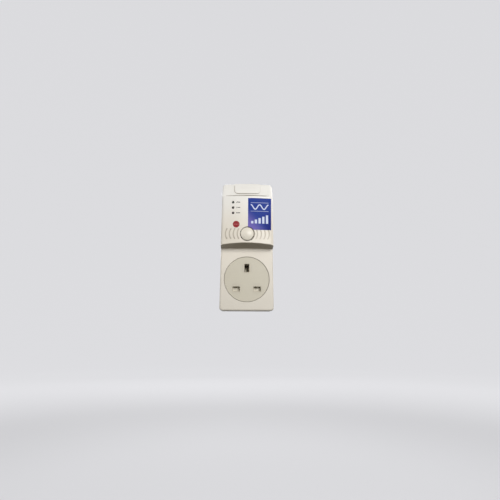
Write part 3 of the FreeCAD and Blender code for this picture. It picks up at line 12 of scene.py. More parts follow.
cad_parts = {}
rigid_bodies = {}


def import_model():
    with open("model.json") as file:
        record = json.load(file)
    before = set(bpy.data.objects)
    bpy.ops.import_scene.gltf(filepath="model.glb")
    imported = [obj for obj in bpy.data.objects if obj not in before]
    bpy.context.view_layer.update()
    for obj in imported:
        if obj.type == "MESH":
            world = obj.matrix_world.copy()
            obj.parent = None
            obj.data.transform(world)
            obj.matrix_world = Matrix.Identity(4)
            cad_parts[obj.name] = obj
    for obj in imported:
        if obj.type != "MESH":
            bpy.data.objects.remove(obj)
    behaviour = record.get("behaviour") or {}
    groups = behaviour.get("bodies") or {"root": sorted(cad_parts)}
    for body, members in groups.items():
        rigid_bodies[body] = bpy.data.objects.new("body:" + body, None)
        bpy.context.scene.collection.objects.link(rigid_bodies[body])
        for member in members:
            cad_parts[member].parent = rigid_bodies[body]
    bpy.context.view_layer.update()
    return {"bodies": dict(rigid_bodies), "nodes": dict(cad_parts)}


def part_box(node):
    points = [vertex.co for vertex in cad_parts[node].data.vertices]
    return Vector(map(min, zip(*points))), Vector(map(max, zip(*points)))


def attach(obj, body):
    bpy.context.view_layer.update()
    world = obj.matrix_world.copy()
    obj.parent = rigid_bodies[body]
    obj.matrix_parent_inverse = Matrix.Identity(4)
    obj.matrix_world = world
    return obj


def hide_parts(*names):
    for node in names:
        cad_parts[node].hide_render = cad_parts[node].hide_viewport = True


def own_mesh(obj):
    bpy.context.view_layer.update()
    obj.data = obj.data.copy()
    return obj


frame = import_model()

bl_info = {
    "name": "Plug-through Protector",
    "version": (1, 0, 0),
    "blender": (4, 5, 0),
    "location": "3D View > Sidebar > Protector",
    "description": "Dresses the solids of a plug-through appliance protector",
    "category": "Object",
}

MM = 0.001
BODY = {node: body for node, thing in frame["nodes"].items()
        for body, empty in frame["bodies"].items() if thing.parent == empty}


# shares of red, green and blue that many materials use
HAZE = (1.0, 0.97, 0.90)
DUST = (0.42, 0.36, 0.27)
SPECK = (0.12, 0.10, 0.08)
RUB_AND_SHADE = (0.33, 0.29, 0.22)

# places on the case that its paint follows
SEAM = -14.25 * MM
CREASE = 28.8 * MM
HOOD = -39 * MM
LOWER_FRONT = -32 * MM
SLOTS = ((0.0, -45.7 * MM), (-11.1 * MM, -67.9 * MM), (11.1 * MM, -67.9 * MM))

# the camera's view: a picture 500 pixels wide, taken with a lens of 491.5 pixels
VIEW = 2 * math.atan(500 / 2 / 491.5)


def tone(red, green, blue):
    """Turn a colour as it is seen, 0 to 255 for each part, into linear values."""
    parts = (red / 255, green / 255, blue / 255)
    return tuple(part / 12.92 if part <= 0.04045 else ((part + 0.055) / 1.055) ** 2.4 for part in parts)


def shade(description, colour):
    """A colour that a user can change."""
    return bpy.props.FloatVectorProperty(
        name=description, description=description, subtype="COLOR", size=3, min=0, max=1, default=colour)


def a_number(name, description, value, **settings):
    """A number that a user can change."""
    return bpy.props.FloatProperty(name=name, description=description, default=value, **settings)


def a_length(name, description, value):
    """A length that a user can change, in metres."""
    return a_number(name, description, value, unit="LENGTH", min=0, precision=5)


def an_angle(name, description, degrees):
    """An angle that a user can change."""
    return a_number(name, description, math.radians(degrees), unit="ROTATION")


# settings


class CaseSettings(bpy.types.PropertyGroup):
    """The moulded case, the outlet face and the button."""

    case: shade("Colour of the two shells", tone(232, 229, 222))
    # painted light and shade: the case is lighter and cooler at the top, warmer and duller towards its
    # foot
    low: shade("Warmer colour of the lower half of the case", tone(220, 212, 197))
    foot: shade("Duller colour at the foot of the case", tone(209, 202, 188))
    outlet: shade("Colour of the round outlet face", tone(194, 187, 168))
    shutter: shade("Colour of the shutter behind the slots", tone(200, 193, 175))
    button: shade("Colour of the push button", tone(222, 215, 199))
    # painted shade: the colour laid in grooves, corners, round rims and under the hood
    soil: shade("Colour of the soil in grooves and corners", tone(128, 114, 90))
    grain_size: a_length("Grain size", "Spacing of the fine texture of the mould", 0.34 * MM)
    grain_depth: a_length("Grain depth", "Depth of the fine texture of the mould", 0.030 * MM)


class PrintSettings(bpy.types.PropertyGroup):
    """The label and the two printed marks."""

    label: shade("Colour of the label", tone(34, 58, 142))
    label_deep: shade("Deeper colour in the label's other lower corner", tone(14, 30, 118))
    # painted sheen: a light glare laid over the label's lower left corner
    label_soft: shade("Soft colour in the label's lower corner", tone(122, 108, 184))
    label_line: shade("Colour of the label's lines", tone(214, 222, 240))
    disc: shade("Colour of the printed disc", tone(142, 38, 44))
    disc_mark: shade("Colour of the bars on the disc", tone(192, 124, 122))
    mark: shade("Colour of the marks beside the lamps", tone(54, 52, 52))
    disc_radius: a_length("Disc radius", "Radius of the printed disc", 3.55 * MM)


class WorksSettings(bpy.types.PropertyGroup):
    """The metal parts, the fuse and the board."""

    brass: shade("Colour of the brass", tone(198, 168, 104))
    steel: shade("Colour of the plated steel", tone(190, 192, 196))
    board: shade("Colour of the board's coating", tone(38, 92, 50))
    copper: shade("Colour of the tracks under the coating", tone(62, 122, 62))
    drawer: shade("Colour of the fuse drawer", tone(176, 42, 36))
    button_turns: a_number("Button turns", "Turns of the button's spring", 6.0, min=2)
    shutter_turns: a_number("Shutter turns", "Turns of the shutter's spring", 9.0, min=2)


class StageSettings(bpy.types.PropertyGroup):
    """The camera, the lamps and the floor."""

    camera_place: bpy.props.FloatVectorProperty(
        name="Camera place", description="Where the camera stands", size=3, unit="LENGTH",
        default=(-0.008, -0.558, -0.1004))
    camera_yaw: an_angle("Camera yaw", "Turn of the camera to the right", 1.245)
    camera_pitch: an_angle("Camera pitch", "Turn of the camera upwards", 8.115)
    camera_roll: an_angle("Camera roll", "Lean of the camera", 0.3)
    camera_view: a_number("Camera view", "Width of the camera's view", VIEW, unit="ROTATION")
    backdrop: shade("Colour of the floor and the backdrop", tone(224, 224, 227))
    glow: a_number("Glow", "How much the backdrop is lifted for the camera", 0.93)
    floor_drop: a_length("Floor drop", "How far the floor lies below the plug's middle", 0.30)
    key: a_number("Key", "Power of the main lamp in watts", 9.5, unit="POWER")
    fill: a_number("Fill", "Power of the weaker lamps in watts", 2.2, unit="POWER")
    sky: a_number("Sky", "Strength of the even light", 0.11)


# small tools


def new_material(name):
    """Start a material; gives it, the builder of its tree and the sockets of its shader."""
    made = bpy.data.materials.new(name)
    made.use_nodes = True
    return made, Tree(made.node_tree), made.node_tree.nodes["Principled BSDF"].inputs


class Tree:
    """Places nodes in a tree and joins them."""

    def __init__(self, tree):
        self.tree = tree

    def add(self, kind, values=None, **settings):
        """Place a node, with its settings and the values of its inputs."""
        node = self.tree.nodes.new(kind)
        for name, value in settings.items():
            setattr(node, name, value)
        self.feed_all(node.inputs, values or {})
        return node

    def first(self, kind, values=None, **settings):
        """Place a node and give its first output."""
        return self.add(kind, values, **settings).outputs[0]

    def feed(self, socket, value):
        """Join a socket to another, or set its value."""
        if isinstance(value, bpy.types.NodeSocket):
            self.tree.links.new(value, socket)
        elif socket.type == "RGBA" and len(value) == 3:
            socket.default_value = (*value, 1)
        else:
            socket.default_value = value

    def feed_all(self, sockets, values):
        """Feed several sockets by their names or numbers."""
        for name, value in values.items():
            self.feed(sockets[name], value)

    def maths(self, operation, *values):
        """One step of arithmetic."""
        return self.first("ShaderNodeMath", dict(enumerate(values)), operation=operation)

    def minus(self, first, second):
        """The first value without the second."""
        return self.maths("SUBTRACT", first, second)

    def over(self, first, second):
        """The first value divided by the second."""
        return self.maths("DIVIDE", first, second)

    def size(self, value):
        """A value without its sign."""
        return self.maths("ABSOLUTE", value)

    def joined(self, operation, values):
        """Some values joined one after another by the same step."""
        return functools.reduce(functools.partial(self.maths, operation), values)

    def blend(self, share, first, second):
        """Mix two colours."""
        return self.add("ShaderNodeMix", {0: share, 6: first, 7: second}, data_type="RGBA").outputs[2]

    def ramp(self, value, low, high, start=0.0, end=1.0):
        """Spread a value between two ends, smoothly."""
        return self.first("ShaderNodeMapRange", {0: value, 1: low, 2: high, 3: start, 4: end},
                          interpolation_type="SMOOTHSTEP")

    def noise(self, where, scale, detail=2.0, rough=0.5):
        """Soft noise, with features 1/scale metres apart."""
        return self.first("ShaderNodeTexNoise", {"Vector": where, "Scale": scale, "Detail": detail,
                                                 "Roughness": rough})

    def near(self, value, centre, half, soft):
        """A mask that is 1 within half of a centre, and fades to 0 over soft."""
        off = self.size(self.minus(value, centre))
        return self.ramp(off, half, half + soft, 1.0, 0.0)

    def most(self, *values):
        """The largest of some values."""
        return self.joined("MAXIMUM", values)

    def product(self, *values):
        """Some values multiplied together."""
        return self.joined("MULTIPLY", values)

    def plus(self, *values):
        """Some values added together."""
        return self.joined("ADD", values)

    def reach(self, *values):
        """The length of a vector with these parts."""
        return self.maths("SQRT", self.plus(*(self.product(value, value) for value in values)))

    def place(self):
        """The place of a point on the object, in metres."""
        return self.add("ShaderNodeTexCoord").outputs["Object"]

    def parts(self, vector):
        """The three parts of a vector."""
        return self.add("ShaderNodeSeparateXYZ", {0: vector}).outputs


def open_tree(tree, inputs, outputs=()):
    """Name a tree's inputs, with their defaults, and its outputs; gives its builder and both."""
    for label, value in inputs.items():
        kind = "NodeSocketVector" if isinstance(value, tuple) else "NodeSocketFloat"
        tree.interface.new_socket(name=label, in_out="INPUT", socket_type=kind).default_value = value
    for label in outputs:
        tree.interface.new_socket(name=label, in_out="OUTPUT", socket_type="NodeSocketFloat")
    build = Tree(tree)
    return build, build.add("NodeGroupInput").outputs, build.add("NodeGroupOutput").inputs


def shader_group(name, inputs, outputs):
    """Start a group of shader nodes with named inputs and outputs."""
    return open_tree(bpy.data.node_groups.new(name, "ShaderNodeTree"), inputs, outputs)


def built_once(build_group):
    """Build a group the first time, and find it by its name after that."""
    return lambda: bpy.data.node_groups.get(build_group.__name__) or build_group()


@built_once
def moulded_grain():
    """The fine texture of a spark-eroded mould, and the faint clouding of the plastic."""
    build, given, out = shader_group("moulded_grain", {"Grain": 4500.0}, ("Height", "Cloud", "Speck"))
    where = build.place()
    fine = build.noise(where, given["Grain"], 3.0, 0.6)
    coarse = build.noise(where, build.product(given["Grain"], 0.3), 1.0)
    build.feed(out["Height"], build.plus(build.product(fine, 0.7), build.product(coarse, 0.3)))
    build.feed(out["Cloud"], build.noise(where, 55.0, 3.0, 0.55))
    dots = build.noise(where, 1500.0, 1.0)
    build.feed(out["Speck"], build.ramp(dots, 0.72, 0.80))
    return build.tree


@built_once
def handling():
    """Hairline scratches and soft soil from years of use."""
    build, _, out = shader_group("handling", {}, ("Scratch", "Soil"))
    where = build.place()
    turned = build.first("ShaderNodeMapping", {"Vector": where, "Rotation": (0.3, 0.2, 0.7),
                                               "Scale": (1.0, 1.0, 0.06)})
    lines = build.add("ShaderNodeTexVoronoi", {"Vector": turned, "Scale": 900.0},
                      feature="DISTANCE_TO_EDGE").outputs["Distance"]
    thin = build.ramp(lines, 0.0, 0.012, 1.0, 0.0)
    sparse = build.ramp(build.noise(where, 90.0, 2.0), 0.58, 0.70)
    build.feed(out["Scratch"], build.product(thin, sparse))
    build.feed(out["Soil"], build.ramp(build.noise(where, 38.0, 4.0, 0.6), 0.45, 0.85))
    return build.tree


@built_once
def metal_lay():
    """The drawn lines and the patchy tarnish of sheet metal and wire."""
    build, given, out = shader_group("metal_lay", {"Stretch": (1.0, 0.05, 1.0)}, ("Height", "Tarnish"))
    where = build.place()
    drawn = build.first("ShaderNodeMapping", {"Vector": where, "Scale": given["Stretch"]})
    build.feed(out["Height"], build.noise(drawn, 4200.0, 4.0, 0.65))
    patch = build.noise(where, 260.0, 4.0, 0.6)
    build.feed(out["Tarnish"], build.ramp(patch, 0.48, 0.78))
    return build.tree


def bump(build, height, depth):
    """Turn a height into a normal."""
    return build.first("ShaderNodeBump", {"Height": height, "Distance": depth, "Strength": 1.0})


def plastic(name, colour, rough, soil=0.10, grain=None, depth=None, coat=0.0, gloss=0.5, paint=None):
    """A moulded plastic; paint may change its colour from place to place."""
    settings = bpy.context.scene.protector_case
    made, build, shader = new_material(name)
    size = grain or settings.grain_size
    mould = build.add("ShaderNodeGroup", {"Grain": 1 / size}, node_tree=moulded_grain()).outputs
    used = build.add("ShaderNodeGroup", node_tree=handling()).outputs
    base = paint(build, colour) if paint else colour
    shown = 0.15 * sum(colour)
    hazy = build.blend(0.10, base, HAZE)
    clouded = build.blend(build.ramp(mould["Cloud"], 0.3, 0.7, 0.0, shown), base, hazy)
    soiled = build.blend(build.product(used["Soil"], soil), clouded, DUST)
    specked = build.blend(build.product(mould["Speck"], soil * 0.6), soiled, SPECK)
    wave = build.ramp(mould["Cloud"], 0.25, 0.75, rough - 0.05, rough + 0.06)
    relief = build.minus(mould["Height"], build.product(used["Scratch"], 0.8))
    build.feed_all(shader, {
        "Base Color": specked, "IOR": 1.52, "Specular IOR Level": gloss,
        "Roughness": build.minus(wave, build.product(used["Scratch"], 0.12)),
        "Normal": bump(build, relief, depth or settings.grain_depth)})
    if coat:
        build.feed_all(shader, {"Coat Weight": coat, "Coat Roughness": 0.08})
    return made


def ink(name, colour, soil=0.04):
    """A matt printing ink."""
    return plastic(name, colour, 0.5, soil=soil, grain=0.6 * MM, depth=0.004 * MM, gloss=0.2)


def metal(name, colour, dull, rough=0.28, stretch=(1.0, 0.05, 1.0)):
    """A bare metal with drawn lines and a patchy tarnish."""
    made, build, shader = new_material(name)
    lay = build.add("ShaderNodeGroup", {"Stretch": stretch}, node_tree=metal_lay()).outputs
    used = build.add("ShaderNodeGroup", node_tree=handling()).outputs
    relief = build.minus(lay["Height"], used["Scratch"])
    build.feed_all(shader, {
        "Base Color": build.blend(build.product(lay["Tarnish"], 0.55), colour, dull), "Metallic": 1.0,
        "Roughness": build.ramp(lay["Tarnish"], 0.0, 1.0, rough, rough + 0.22),
        "Normal": bump(build, relief, 0.006 * MM)})
    return made


# materials of the pieces


def middle(node):
    """The middle of a CAD node's box."""
    low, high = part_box(node)
    return (low + high) / 2


def grip_soil(build, x, z):
    """A mask of painted shade in the curved grip grooves on both sides of the button."""
    bow, first, pitch, last = 9.5 * MM, 1.0 * MM, 4.1 * MM, 3.0
    half_width, half_height, fade = 0.45 * MM, 5.3 * MM, 0.3 * MM
    up = build.minus(z, middle("reset_button").z)
    bend = build.maths("SQRT", build.minus(bow ** 2, build.product(up, up)))
    across = build.minus(build.size(x), bend)
    cell = build.over(build.minus(across, first), pitch)
    nearest = build.maths("MINIMUM", build.most(build.maths("ROUND", cell), 0.0), last)
    off = build.product(build.minus(cell, nearest), pitch, build.over(bend, bow))
    return build.product(build.near(off, 0.0, half_width, fade), build.near(up, 0.0, half_height, fade))


def pad_soil(build, x, z):
    """A mask of painted shadow along the foot of the raised pad's edge."""
    half_flat, flat_height, corner = 9.7 * MM, 35.2 * MM, 3.9 * MM
    side = build.most(build.minus(build.size(x), half_flat), 0.0)
    down = build.most(build.minus(flat_height, z), 0.0)
    return build.near(build.reach(side, down), corner, 0.15 * MM, 0.3 * MM)


def rim_soil(build, x, z, node, radius, half):
    """A mask of painted shade round the rim of a round piece, stronger on its upper right."""
    up = build.minus(z, middle(node).z)
    slant = build.plus(x, build.product(up, 0.4))
    return build.product(build.near(build.reach(x, up), radius, half, 0.3 * MM),
                         build.ramp(slant, -0.3 * radius, 0.9 * radius, 0.05, 0.85))


def case_paint(build, colour):
    """The case is painted lighter at the top and warmer and duller towards its foot, as painted light and
    shade, and painted shade darkens its seam, crease, grip grooves, the pad's edge, the rims round the
    button and the outlet, and the underside of the hood.
    """
    settings = bpy.context.scene.protector_case
    x, y, z = build.parts(build.place())
    facing = build.parts(build.add("ShaderNodeNewGeometry").outputs["Normal"])
    # painted light and shade: lighter at the top, warmer towards the foot, duller still at the foot
    base = build.blend(build.ramp(z, 34 * MM, -12 * MM), colour, settings.low)
    base = build.blend(build.ramp(z, -25 * MM, -90 * MM), base, settings.foot)
    hood = build.product(build.ramp(y, HOOD, HOOD - MM), build.ramp(facing[1], 0.5, 0.3))
    lower = build.ramp(y, LOWER_FRONT, LOWER_FRONT - 2 * MM)
    # painted shade in the seam, crease, grip grooves, along the pad's edge, under the hood and round the
    # rims, its strength changing from left to right
    soil = build.most(
        build.product(build.near(y, SEAM, 0.2 * MM, 0.15 * MM), 0.55),
        build.product(build.near(z, CREASE, 0.3 * MM, 0.2 * MM), build.near(x, 0.0, 17 * MM, 6 * MM), hood,
                      build.ramp(x, -20 * MM, 8 * MM, 0.40, 0.95)),
        build.product(grip_soil(build, x, z), hood, build.ramp(x, -10 * MM, 10 * MM, 0.48, 0.26)),
        build.product(pad_soil(build, x, z), hood, build.ramp(z, 40.5 * MM, 41.8 * MM, 1.0, 0.0),
                      build.ramp(x, -10 * MM, 10 * MM, 0.60, 0.15)),
        build.product(build.ramp(facing[2], -0.4, -0.9), hood, 0.88),
        build.product(rim_soil(build, x, z, "reset_button", 7.6 * MM, 0.3 * MM), hood),
        build.product(rim_soil(build, x, z, "socket_insert", 24.0 * MM, 0.1 * MM), lower))
    return build.blend(soil, base, settings.soil)


def outlet_paint(build, colour):
    """The outlet face is a little worn and darker round its slots, where pins have rubbed it, and painted
    shade darkens its rim, more on the upper right.
    """
    x, _, z = build.parts(build.place())
    # painted shade round the outlet's rim, with rubbing round each slot added below
    rim_shade_and_rub = rim_soil(build, x, z, "socket_insert", 23.8 * MM, 0.1 * MM)
    for across, up in SLOTS:
        far = build.reach(build.minus(x, across), build.minus(z, up))
        rim_shade_and_rub = build.most(rim_shade_and_rub, build.ramp(far, 3.5 * MM, 8.5 * MM, 0.16, 0.0))
    return build.blend(rim_shade_and_rub, colour, RUB_AND_SHADE)


def button_paint(build, colour):
    """Painted shade darkens the button's rim, more on its upper right."""
    x, _, z = build.parts(build.place())
    # painted shade round the button's rim
    rim = rim_soil(build, x, z, "reset_button", 6.8 * MM, 0.1 * MM)
    return build.blend(rim, colour, bpy.context.scene.protector_case.soil)


def board_paint(build, colour):
    """Tracks that show faintly through the board's coating."""
    where = build.place()
    flat = build.first("ShaderNodeMapping", {"Vector": where, "Rotation": (math.radians(90), 0, 0)})
    tracks = build.add("ShaderNodeTexBrick", {
        "Vector": flat, "Scale": 260.0, "Mortar Size": 0.035, "Brick Width": 0.9, "Row Height": 0.45},
        offset=0.35, squash=1.6, squash_frequency=3).outputs["Fac"]
    keep = build.ramp(build.noise(where, 110.0, 1.0), 0.40, 0.46)
    return build.blend(build.product(tracks, keep), colour, bpy.context.scene.protector_works.copper)


def band_paint(centre, pitch, bands):
    """Coloured bands across a small part, seen along X."""
    def paint(build, colour):
        along = build.parts(build.place())[0]
        for number, band in enumerate(bands):
            place = centre + (number - (len(bands) - 1) / 2) * pitch
            colour = build.blend(build.near(along, place, pitch * 0.22, pitch * 0.08), colour, band)
        return colour
    return paint


def label_paint(build, colour):
    """A wave held between two limit lines, over a row of rising bars."""
    prints = bpy.context.scene.protector_prints
    low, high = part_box("front_label")
    margin, waves, level, swing, steepness = 0.12, 2, 0.72, 0.07, 1.6
    bars, first_bar, bar_pitch, bar_half, bar_foot = 5, 0.18, 0.16, 0.045, 0.20
    shortest, growth = 0.035, 0.024
    x, _, z = build.parts(build.place())
    across = build.over(build.minus(x, low.x), high.x - low.x)
    up = build.over(build.minus(z, low.z), high.z - low.z)
    deep = build.product(build.ramp(across, 0.4, 1.0), build.ramp(up, 0.8, 0.1))
    # painted sheen: the lower left corner is lightened as if by glare
    corner = build.ramp(build.plus(across, build.product(up, 1.15)), 0.15, 0.95, 0.85, 0.0)
    ground = build.blend(corner, build.blend(deep, colour, prints.label_deep), prints.label_soft)

    phase = build.product(build.minus(across, margin), math.tau * waves / (1 - 2 * margin))
    line = build.plus(build.product(build.maths("COSINE", phase), swing), level)
    slope = build.product(build.maths("SINE", phase), steepness)
    off = build.over(build.size(build.minus(up, line)), build.reach(slope, 1.0))
    inside = build.near(across, 0.5, 0.5 - margin, 0.01)
    marks = [build.product(build.ramp(off, 0.014, 0.021, 1.0, 0.0), inside)]
    for limit in (0.855, 0.585):
        marks.append(build.product(build.near(up, limit, 0.004, 0.005), inside, 0.7))
    for number in range(bars):
        half_height = shortest + number * growth
        marks.append(build.product(build.near(across, first_bar + number * bar_pitch, bar_half, 0.008),
                                   build.near(up, bar_foot + half_height, half_height, 0.006)))
    return build.blend(build.product(build.most(*marks), 0.92), ground, prints.label_line)


def dress(node, made):
    """Give a CAD piece its material."""
    slots = frame["nodes"][node].data.materials
    slots.clear()
    slots.append(made)


def ride_with(piece, node, made=None):
    """Put a piece on the body of a CAD node, with a material if one is given."""
    if made:
        piece.data.materials.clear()
        piece.data.materials.append(made)
    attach(piece, BODY[node])
    return piece


def stand_in(piece, node, made=None):
    """Let a piece stand for a CAD node."""
    ride_with(piece, node, made)
    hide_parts(node)
    return piece


def new_piece(name, mesh):
    """Put a mesh into the scene as a piece."""
    piece = bpy.data.objects.new(name, mesh)
    bpy.context.scene.collection.objects.link(piece)
    return piece


def baked(piece):
    """Turn a piece and its modifiers into one plain mesh."""
    depsgraph = bpy.context.evaluated_depsgraph_get()
    mesh = bpy.data.meshes.new_from_object(piece.evaluated_get(depsgraph))
    piece.modifiers.clear()
    piece.data = mesh
    return piece


def merged_copy(node, name):
    """A copy of a CAD node's mesh, with its loose triangles joined."""
    mesh = frame["nodes"][node].data.copy()
    mesh.name = name
    work = bmesh.new()
    work.from_mesh(mesh)
    bmesh.ops.remove_doubles(work, verts=work.verts, dist=1e-6)
    bmesh.ops.dissolve_limit(work, angle_limit=math.radians(0.6), verts=work.verts, edges=work.edges)
    work.to_mesh(mesh)
    work.free()
    if mesh.has_custom_normals:
        mesh.attributes.remove(mesh.attributes["custom_normal"])
    return new_piece(name, mesh)


def soften(node, width, made, steps=2):
    """Stand in for a CAD node with a copy whose sharp edges are rounded."""
    piece = merged_copy(node, node + "_soft")
    edge = piece.modifiers.new("edges", "BEVEL")
    edge.width = width
    edge.segments = steps
    edge.limit_method = "ANGLE"
    edge.angle_limit = math.radians(32)
    baked(piece)
    piece.data.shade_smooth()
    piece.modifiers.new("normals", "WEIGHTED_NORMAL")
    return stand_in(baked(piece), node, made)


# geometry nodes


def shape_tree(name, inputs):
    """Start a tree of geometry nodes with named inputs."""
    tree = bpy.data.node_groups.new(name, "GeometryNodeTree")
    for side in ("INPUT", "OUTPUT"):
        tree.interface.new_socket(name="Geometry", in_out=side, socket_type="NodeSocketGeometry")
    return open_tree(tree, inputs)


def finish_shape(build, geometry, out, made):
    """End a tree in plain geometry with its material."""
    real = build.first("GeometryNodeRealizeInstances", {0: geometry})
    dressed = build.first("GeometryNodeSetMaterial", {"Geometry": real, "Material": made})
    build.feed(out[0], dressed)


def grown(name, mesh, tree, values):
    """Run a tree on a mesh with named values, and keep its result as a plain piece."""
    piece = new_piece(name, mesh)
    step = piece.modifiers.new("shape", "NODES")
    step.node_group = tree
    for item in tree.interface.items_tree:
        if item.in_out == "INPUT" and item.name in values:
            step[item.identifier] = values[item.name]
    baked(piece)
    piece.name = name
    return piece


def coil_tree(made):
    """A coil spring along Z, with closer turns at both ends."""
    build, given, out = shape_tree("coil_spring", {
        "Turns": 6.0, "Coil Radius": 3 * MM, "Wire Radius": 0.2 * MM, "Length": 10 * MM})
    line = build.first("GeometryNodeCurveSpiral", {
        "Resolution": 36, "Rotations": given["Turns"], "Start Radius": given["Coil Radius"],
        "End Radius": given["Coil Radius"], "Height": 0.0})
    along = build.add("GeometryNodeSplineParameter").outputs["Factor"]
    ease = build.product(build.maths("SINE", build.product(along, math.tau)), -0.125)
    rise = build.plus(along, ease)
    inner = build.minus(given["Length"], build.product(given["Wire Radius"], 2.0))
    lift = build.plus(build.product(rise, inner), given["Wire Radius"])
    offset = build.first("ShaderNodeCombineXYZ", {"Z": lift})
    raised = build.first("GeometryNodeSetPosition", {"Geometry": line, "Offset": offset})
    round_wire = build.first("GeometryNodeCurvePrimitiveCircle", {
        "Resolution": 12, "Radius": given["Wire Radius"]})
    wire = build.first("GeometryNodeCurveToMesh", {
        "Curve": raised, "Profile Curve": round_wire, "Fill Caps": True})
    finish_shape(build, wire, out, made)
    return build.tree


def spread(build, points, shape):
    """Put one shape on each point, turned about Y by the point's own amount."""
    turn = build.first("GeometryNodeInputNamedAttribute", {"Name": "turn"}, data_type="FLOAT")
    return build.first("GeometryNodeInstanceOnPoints", {
        "Points": points, "Instance": shape,
        "Rotation": build.first("ShaderNodeCombineXYZ", {"Y": turn})})


def scatter_tree(name, made, source):
    """One shape repeated at each point."""
    build, given, out = shape_tree(name, {})
    shape = build.add("GeometryNodeObjectInfo", {"Object": source}).outputs["Geometry"]
    finish_shape(build, spread(build, given["Geometry"], shape), out, made)
    return build.tree


def scattered(name, form, places, turns, node, made):
    """Repeat a form at places and turns, on the body of a CAD node."""
    piece = grown(name, point_mesh(name, places, turns), scatter_tree(name, made, form), {})
    bpy.data.objects.remove(form)
    return ride_with(piece, node)


def islands(node):
    """The low and high corners of each separate solid of a CAD node."""
    work = bmesh.new()
    work.from_mesh(frame["nodes"][node].data)
    bmesh.ops.remove_doubles(work, verts=work.verts, dist=1e-6)
    left, found = set(work.verts), []
    while left:
        patch, edge = [], [left.pop()]
        while edge:
            vert = edge.pop()
            patch.append(vert.co.copy())
            for other in (link.other_vert(vert) for link in vert.link_edges):
                if other in left:
                    left.discard(other)
                    edge.append(other)
        found.append(tuple(Vector([end(place[axis] for place in patch) for axis in range(3)])
                           for end in (min, max)))
    work.free()
    return sorted(found, key=lambda ends: tuple(ends[0]))


def coil(node, axis, turns, wire, made):
    """Wind a spring that fills the box of its CAD node, along Y or Z."""
    low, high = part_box(node)
    along = "XYZ".index(axis)
    wide = (high.x - low.x) / 2 - wire
    anchor = (low + high) / 2
    anchor[along] = low[along]
    name = node + "_coil"
    piece = grown(name, point_mesh(name, []), coil_tree(made), {
        "Turns": turns, "Coil Radius": wide, "Wire Radius": wire, "Length": high[along] - low[along]})
    turn = Matrix.Rotation(math.radians(-90), 4, "X") if axis == "Y" else Matrix()
    piece.data.transform(Matrix.Translation(anchor) @ turn)
    piece.data.shade_smooth()
    return stand_in(piece, node)


def point_mesh(name, places, turns=()):
    """A mesh of loose points, each with its own turn."""
    mesh = bpy.data.meshes.new(name)
    mesh.from_pydata([Vector(place) for place in places], [], [])
    amounts = mesh.attributes.new("turn", "FLOAT", "POINT")
    for item, turn in zip(amounts.data, turns):
        item.value = turn
    return mesh


def lathe(outline, steps, axis="Y"):
    """Turn an outline of (radius, place) pairs about an axis."""
    work = bmesh.new()
    rows = []
    for radius, place in outline:
        if radius < 1e-9:
            rows.append([work.verts.new((0, 0, place))])
            continue
        rows.append([work.verts.new((radius * math.cos(math.tau * step / steps),
                                     radius * math.sin(math.tau * step / steps), place))
                     for step in range(steps)])
    for low, high in zip(rows, rows[1:]):
        for step in range(steps):
            after = (step + 1) % steps
            ring = [low[step % len(low)], low[after % len(low)],
                    high[after % len(high)], high[step % len(high)]]
            corners = list(dict.fromkeys(ring))
            if len(corners) > 2:
                work.faces.new(corners)
    if axis == "Y":
        bmesh.ops.rotate(work, verts=work.verts, matrix=Matrix.Rotation(math.radians(-90), 3, "X"))
    bmesh.ops.recalc_face_normals(work, faces=work.faces)
    return work


def to_mesh(work, name, smooth=40):
    """Finish a bmesh as a mesh with smooth shading below an angle."""
    mesh = bpy.data.meshes.new(name)
    work.to_mesh(mesh)
    work.free()
    mesh.shade_smooth()
    mesh.set_sharp_from_angle(angle=math.radians(smooth))
    return mesh


def screw_form(name, head_radius, head_height, shank_radius, length, cross):
    """One pan head screw along Y, its head's face at the origin, with a crossed recess."""
    crown, steps = head_radius * 0.86, 8
    outline = [(0.0, 0.0)]
    for step in range(1, steps + 1):
        share = step / steps
        outline.append((crown * share, -head_height * 0.10 * share ** 2))
    outline += [(head_radius * 0.96, -head_height * 0.28), (head_radius, -head_height * 0.52),
                (head_radius, -head_height), (shank_radius, -head_height),
                (shank_radius, -length + shank_radius * 1.2), (0.0, -length)]
    body = new_piece(name, to_mesh(lathe(outline, 48), name, 30))
    work = bmesh.new()
    for turned in (False, True):
        ends = []
        for depth, reach, half in ((head_height * 0.1, cross, cross * 0.24),
                                   (-head_height * 0.75, cross * 0.45, cross * 0.12)):
            corners = [(-reach, -half), (reach, -half), (reach, half), (-reach, half)]
            if turned:
                corners = [(z, -x) for x, z in corners]
            ends.append([work.verts.new((x, depth, z)) for x, z in corners])
        work.faces.new(ends[0])
        work.faces.new(list(reversed(ends[1])))
        for step in range(4):
            after = (step + 1) % 4
            work.faces.new((ends[0][after], ends[0][step], ends[1][step], ends[1][after]))
    bmesh.ops.recalc_face_normals(work, faces=work.faces)
    cutter = new_piece(name + "_recess", to_mesh(work, name + "_recess"))
    step = body.modifiers.new("recess", "BOOLEAN")
    step.object = cutter
    step.operation = "DIFFERENCE"
    step.use_self = True
    baked(body)
    bpy.data.objects.remove(cutter)
    return body


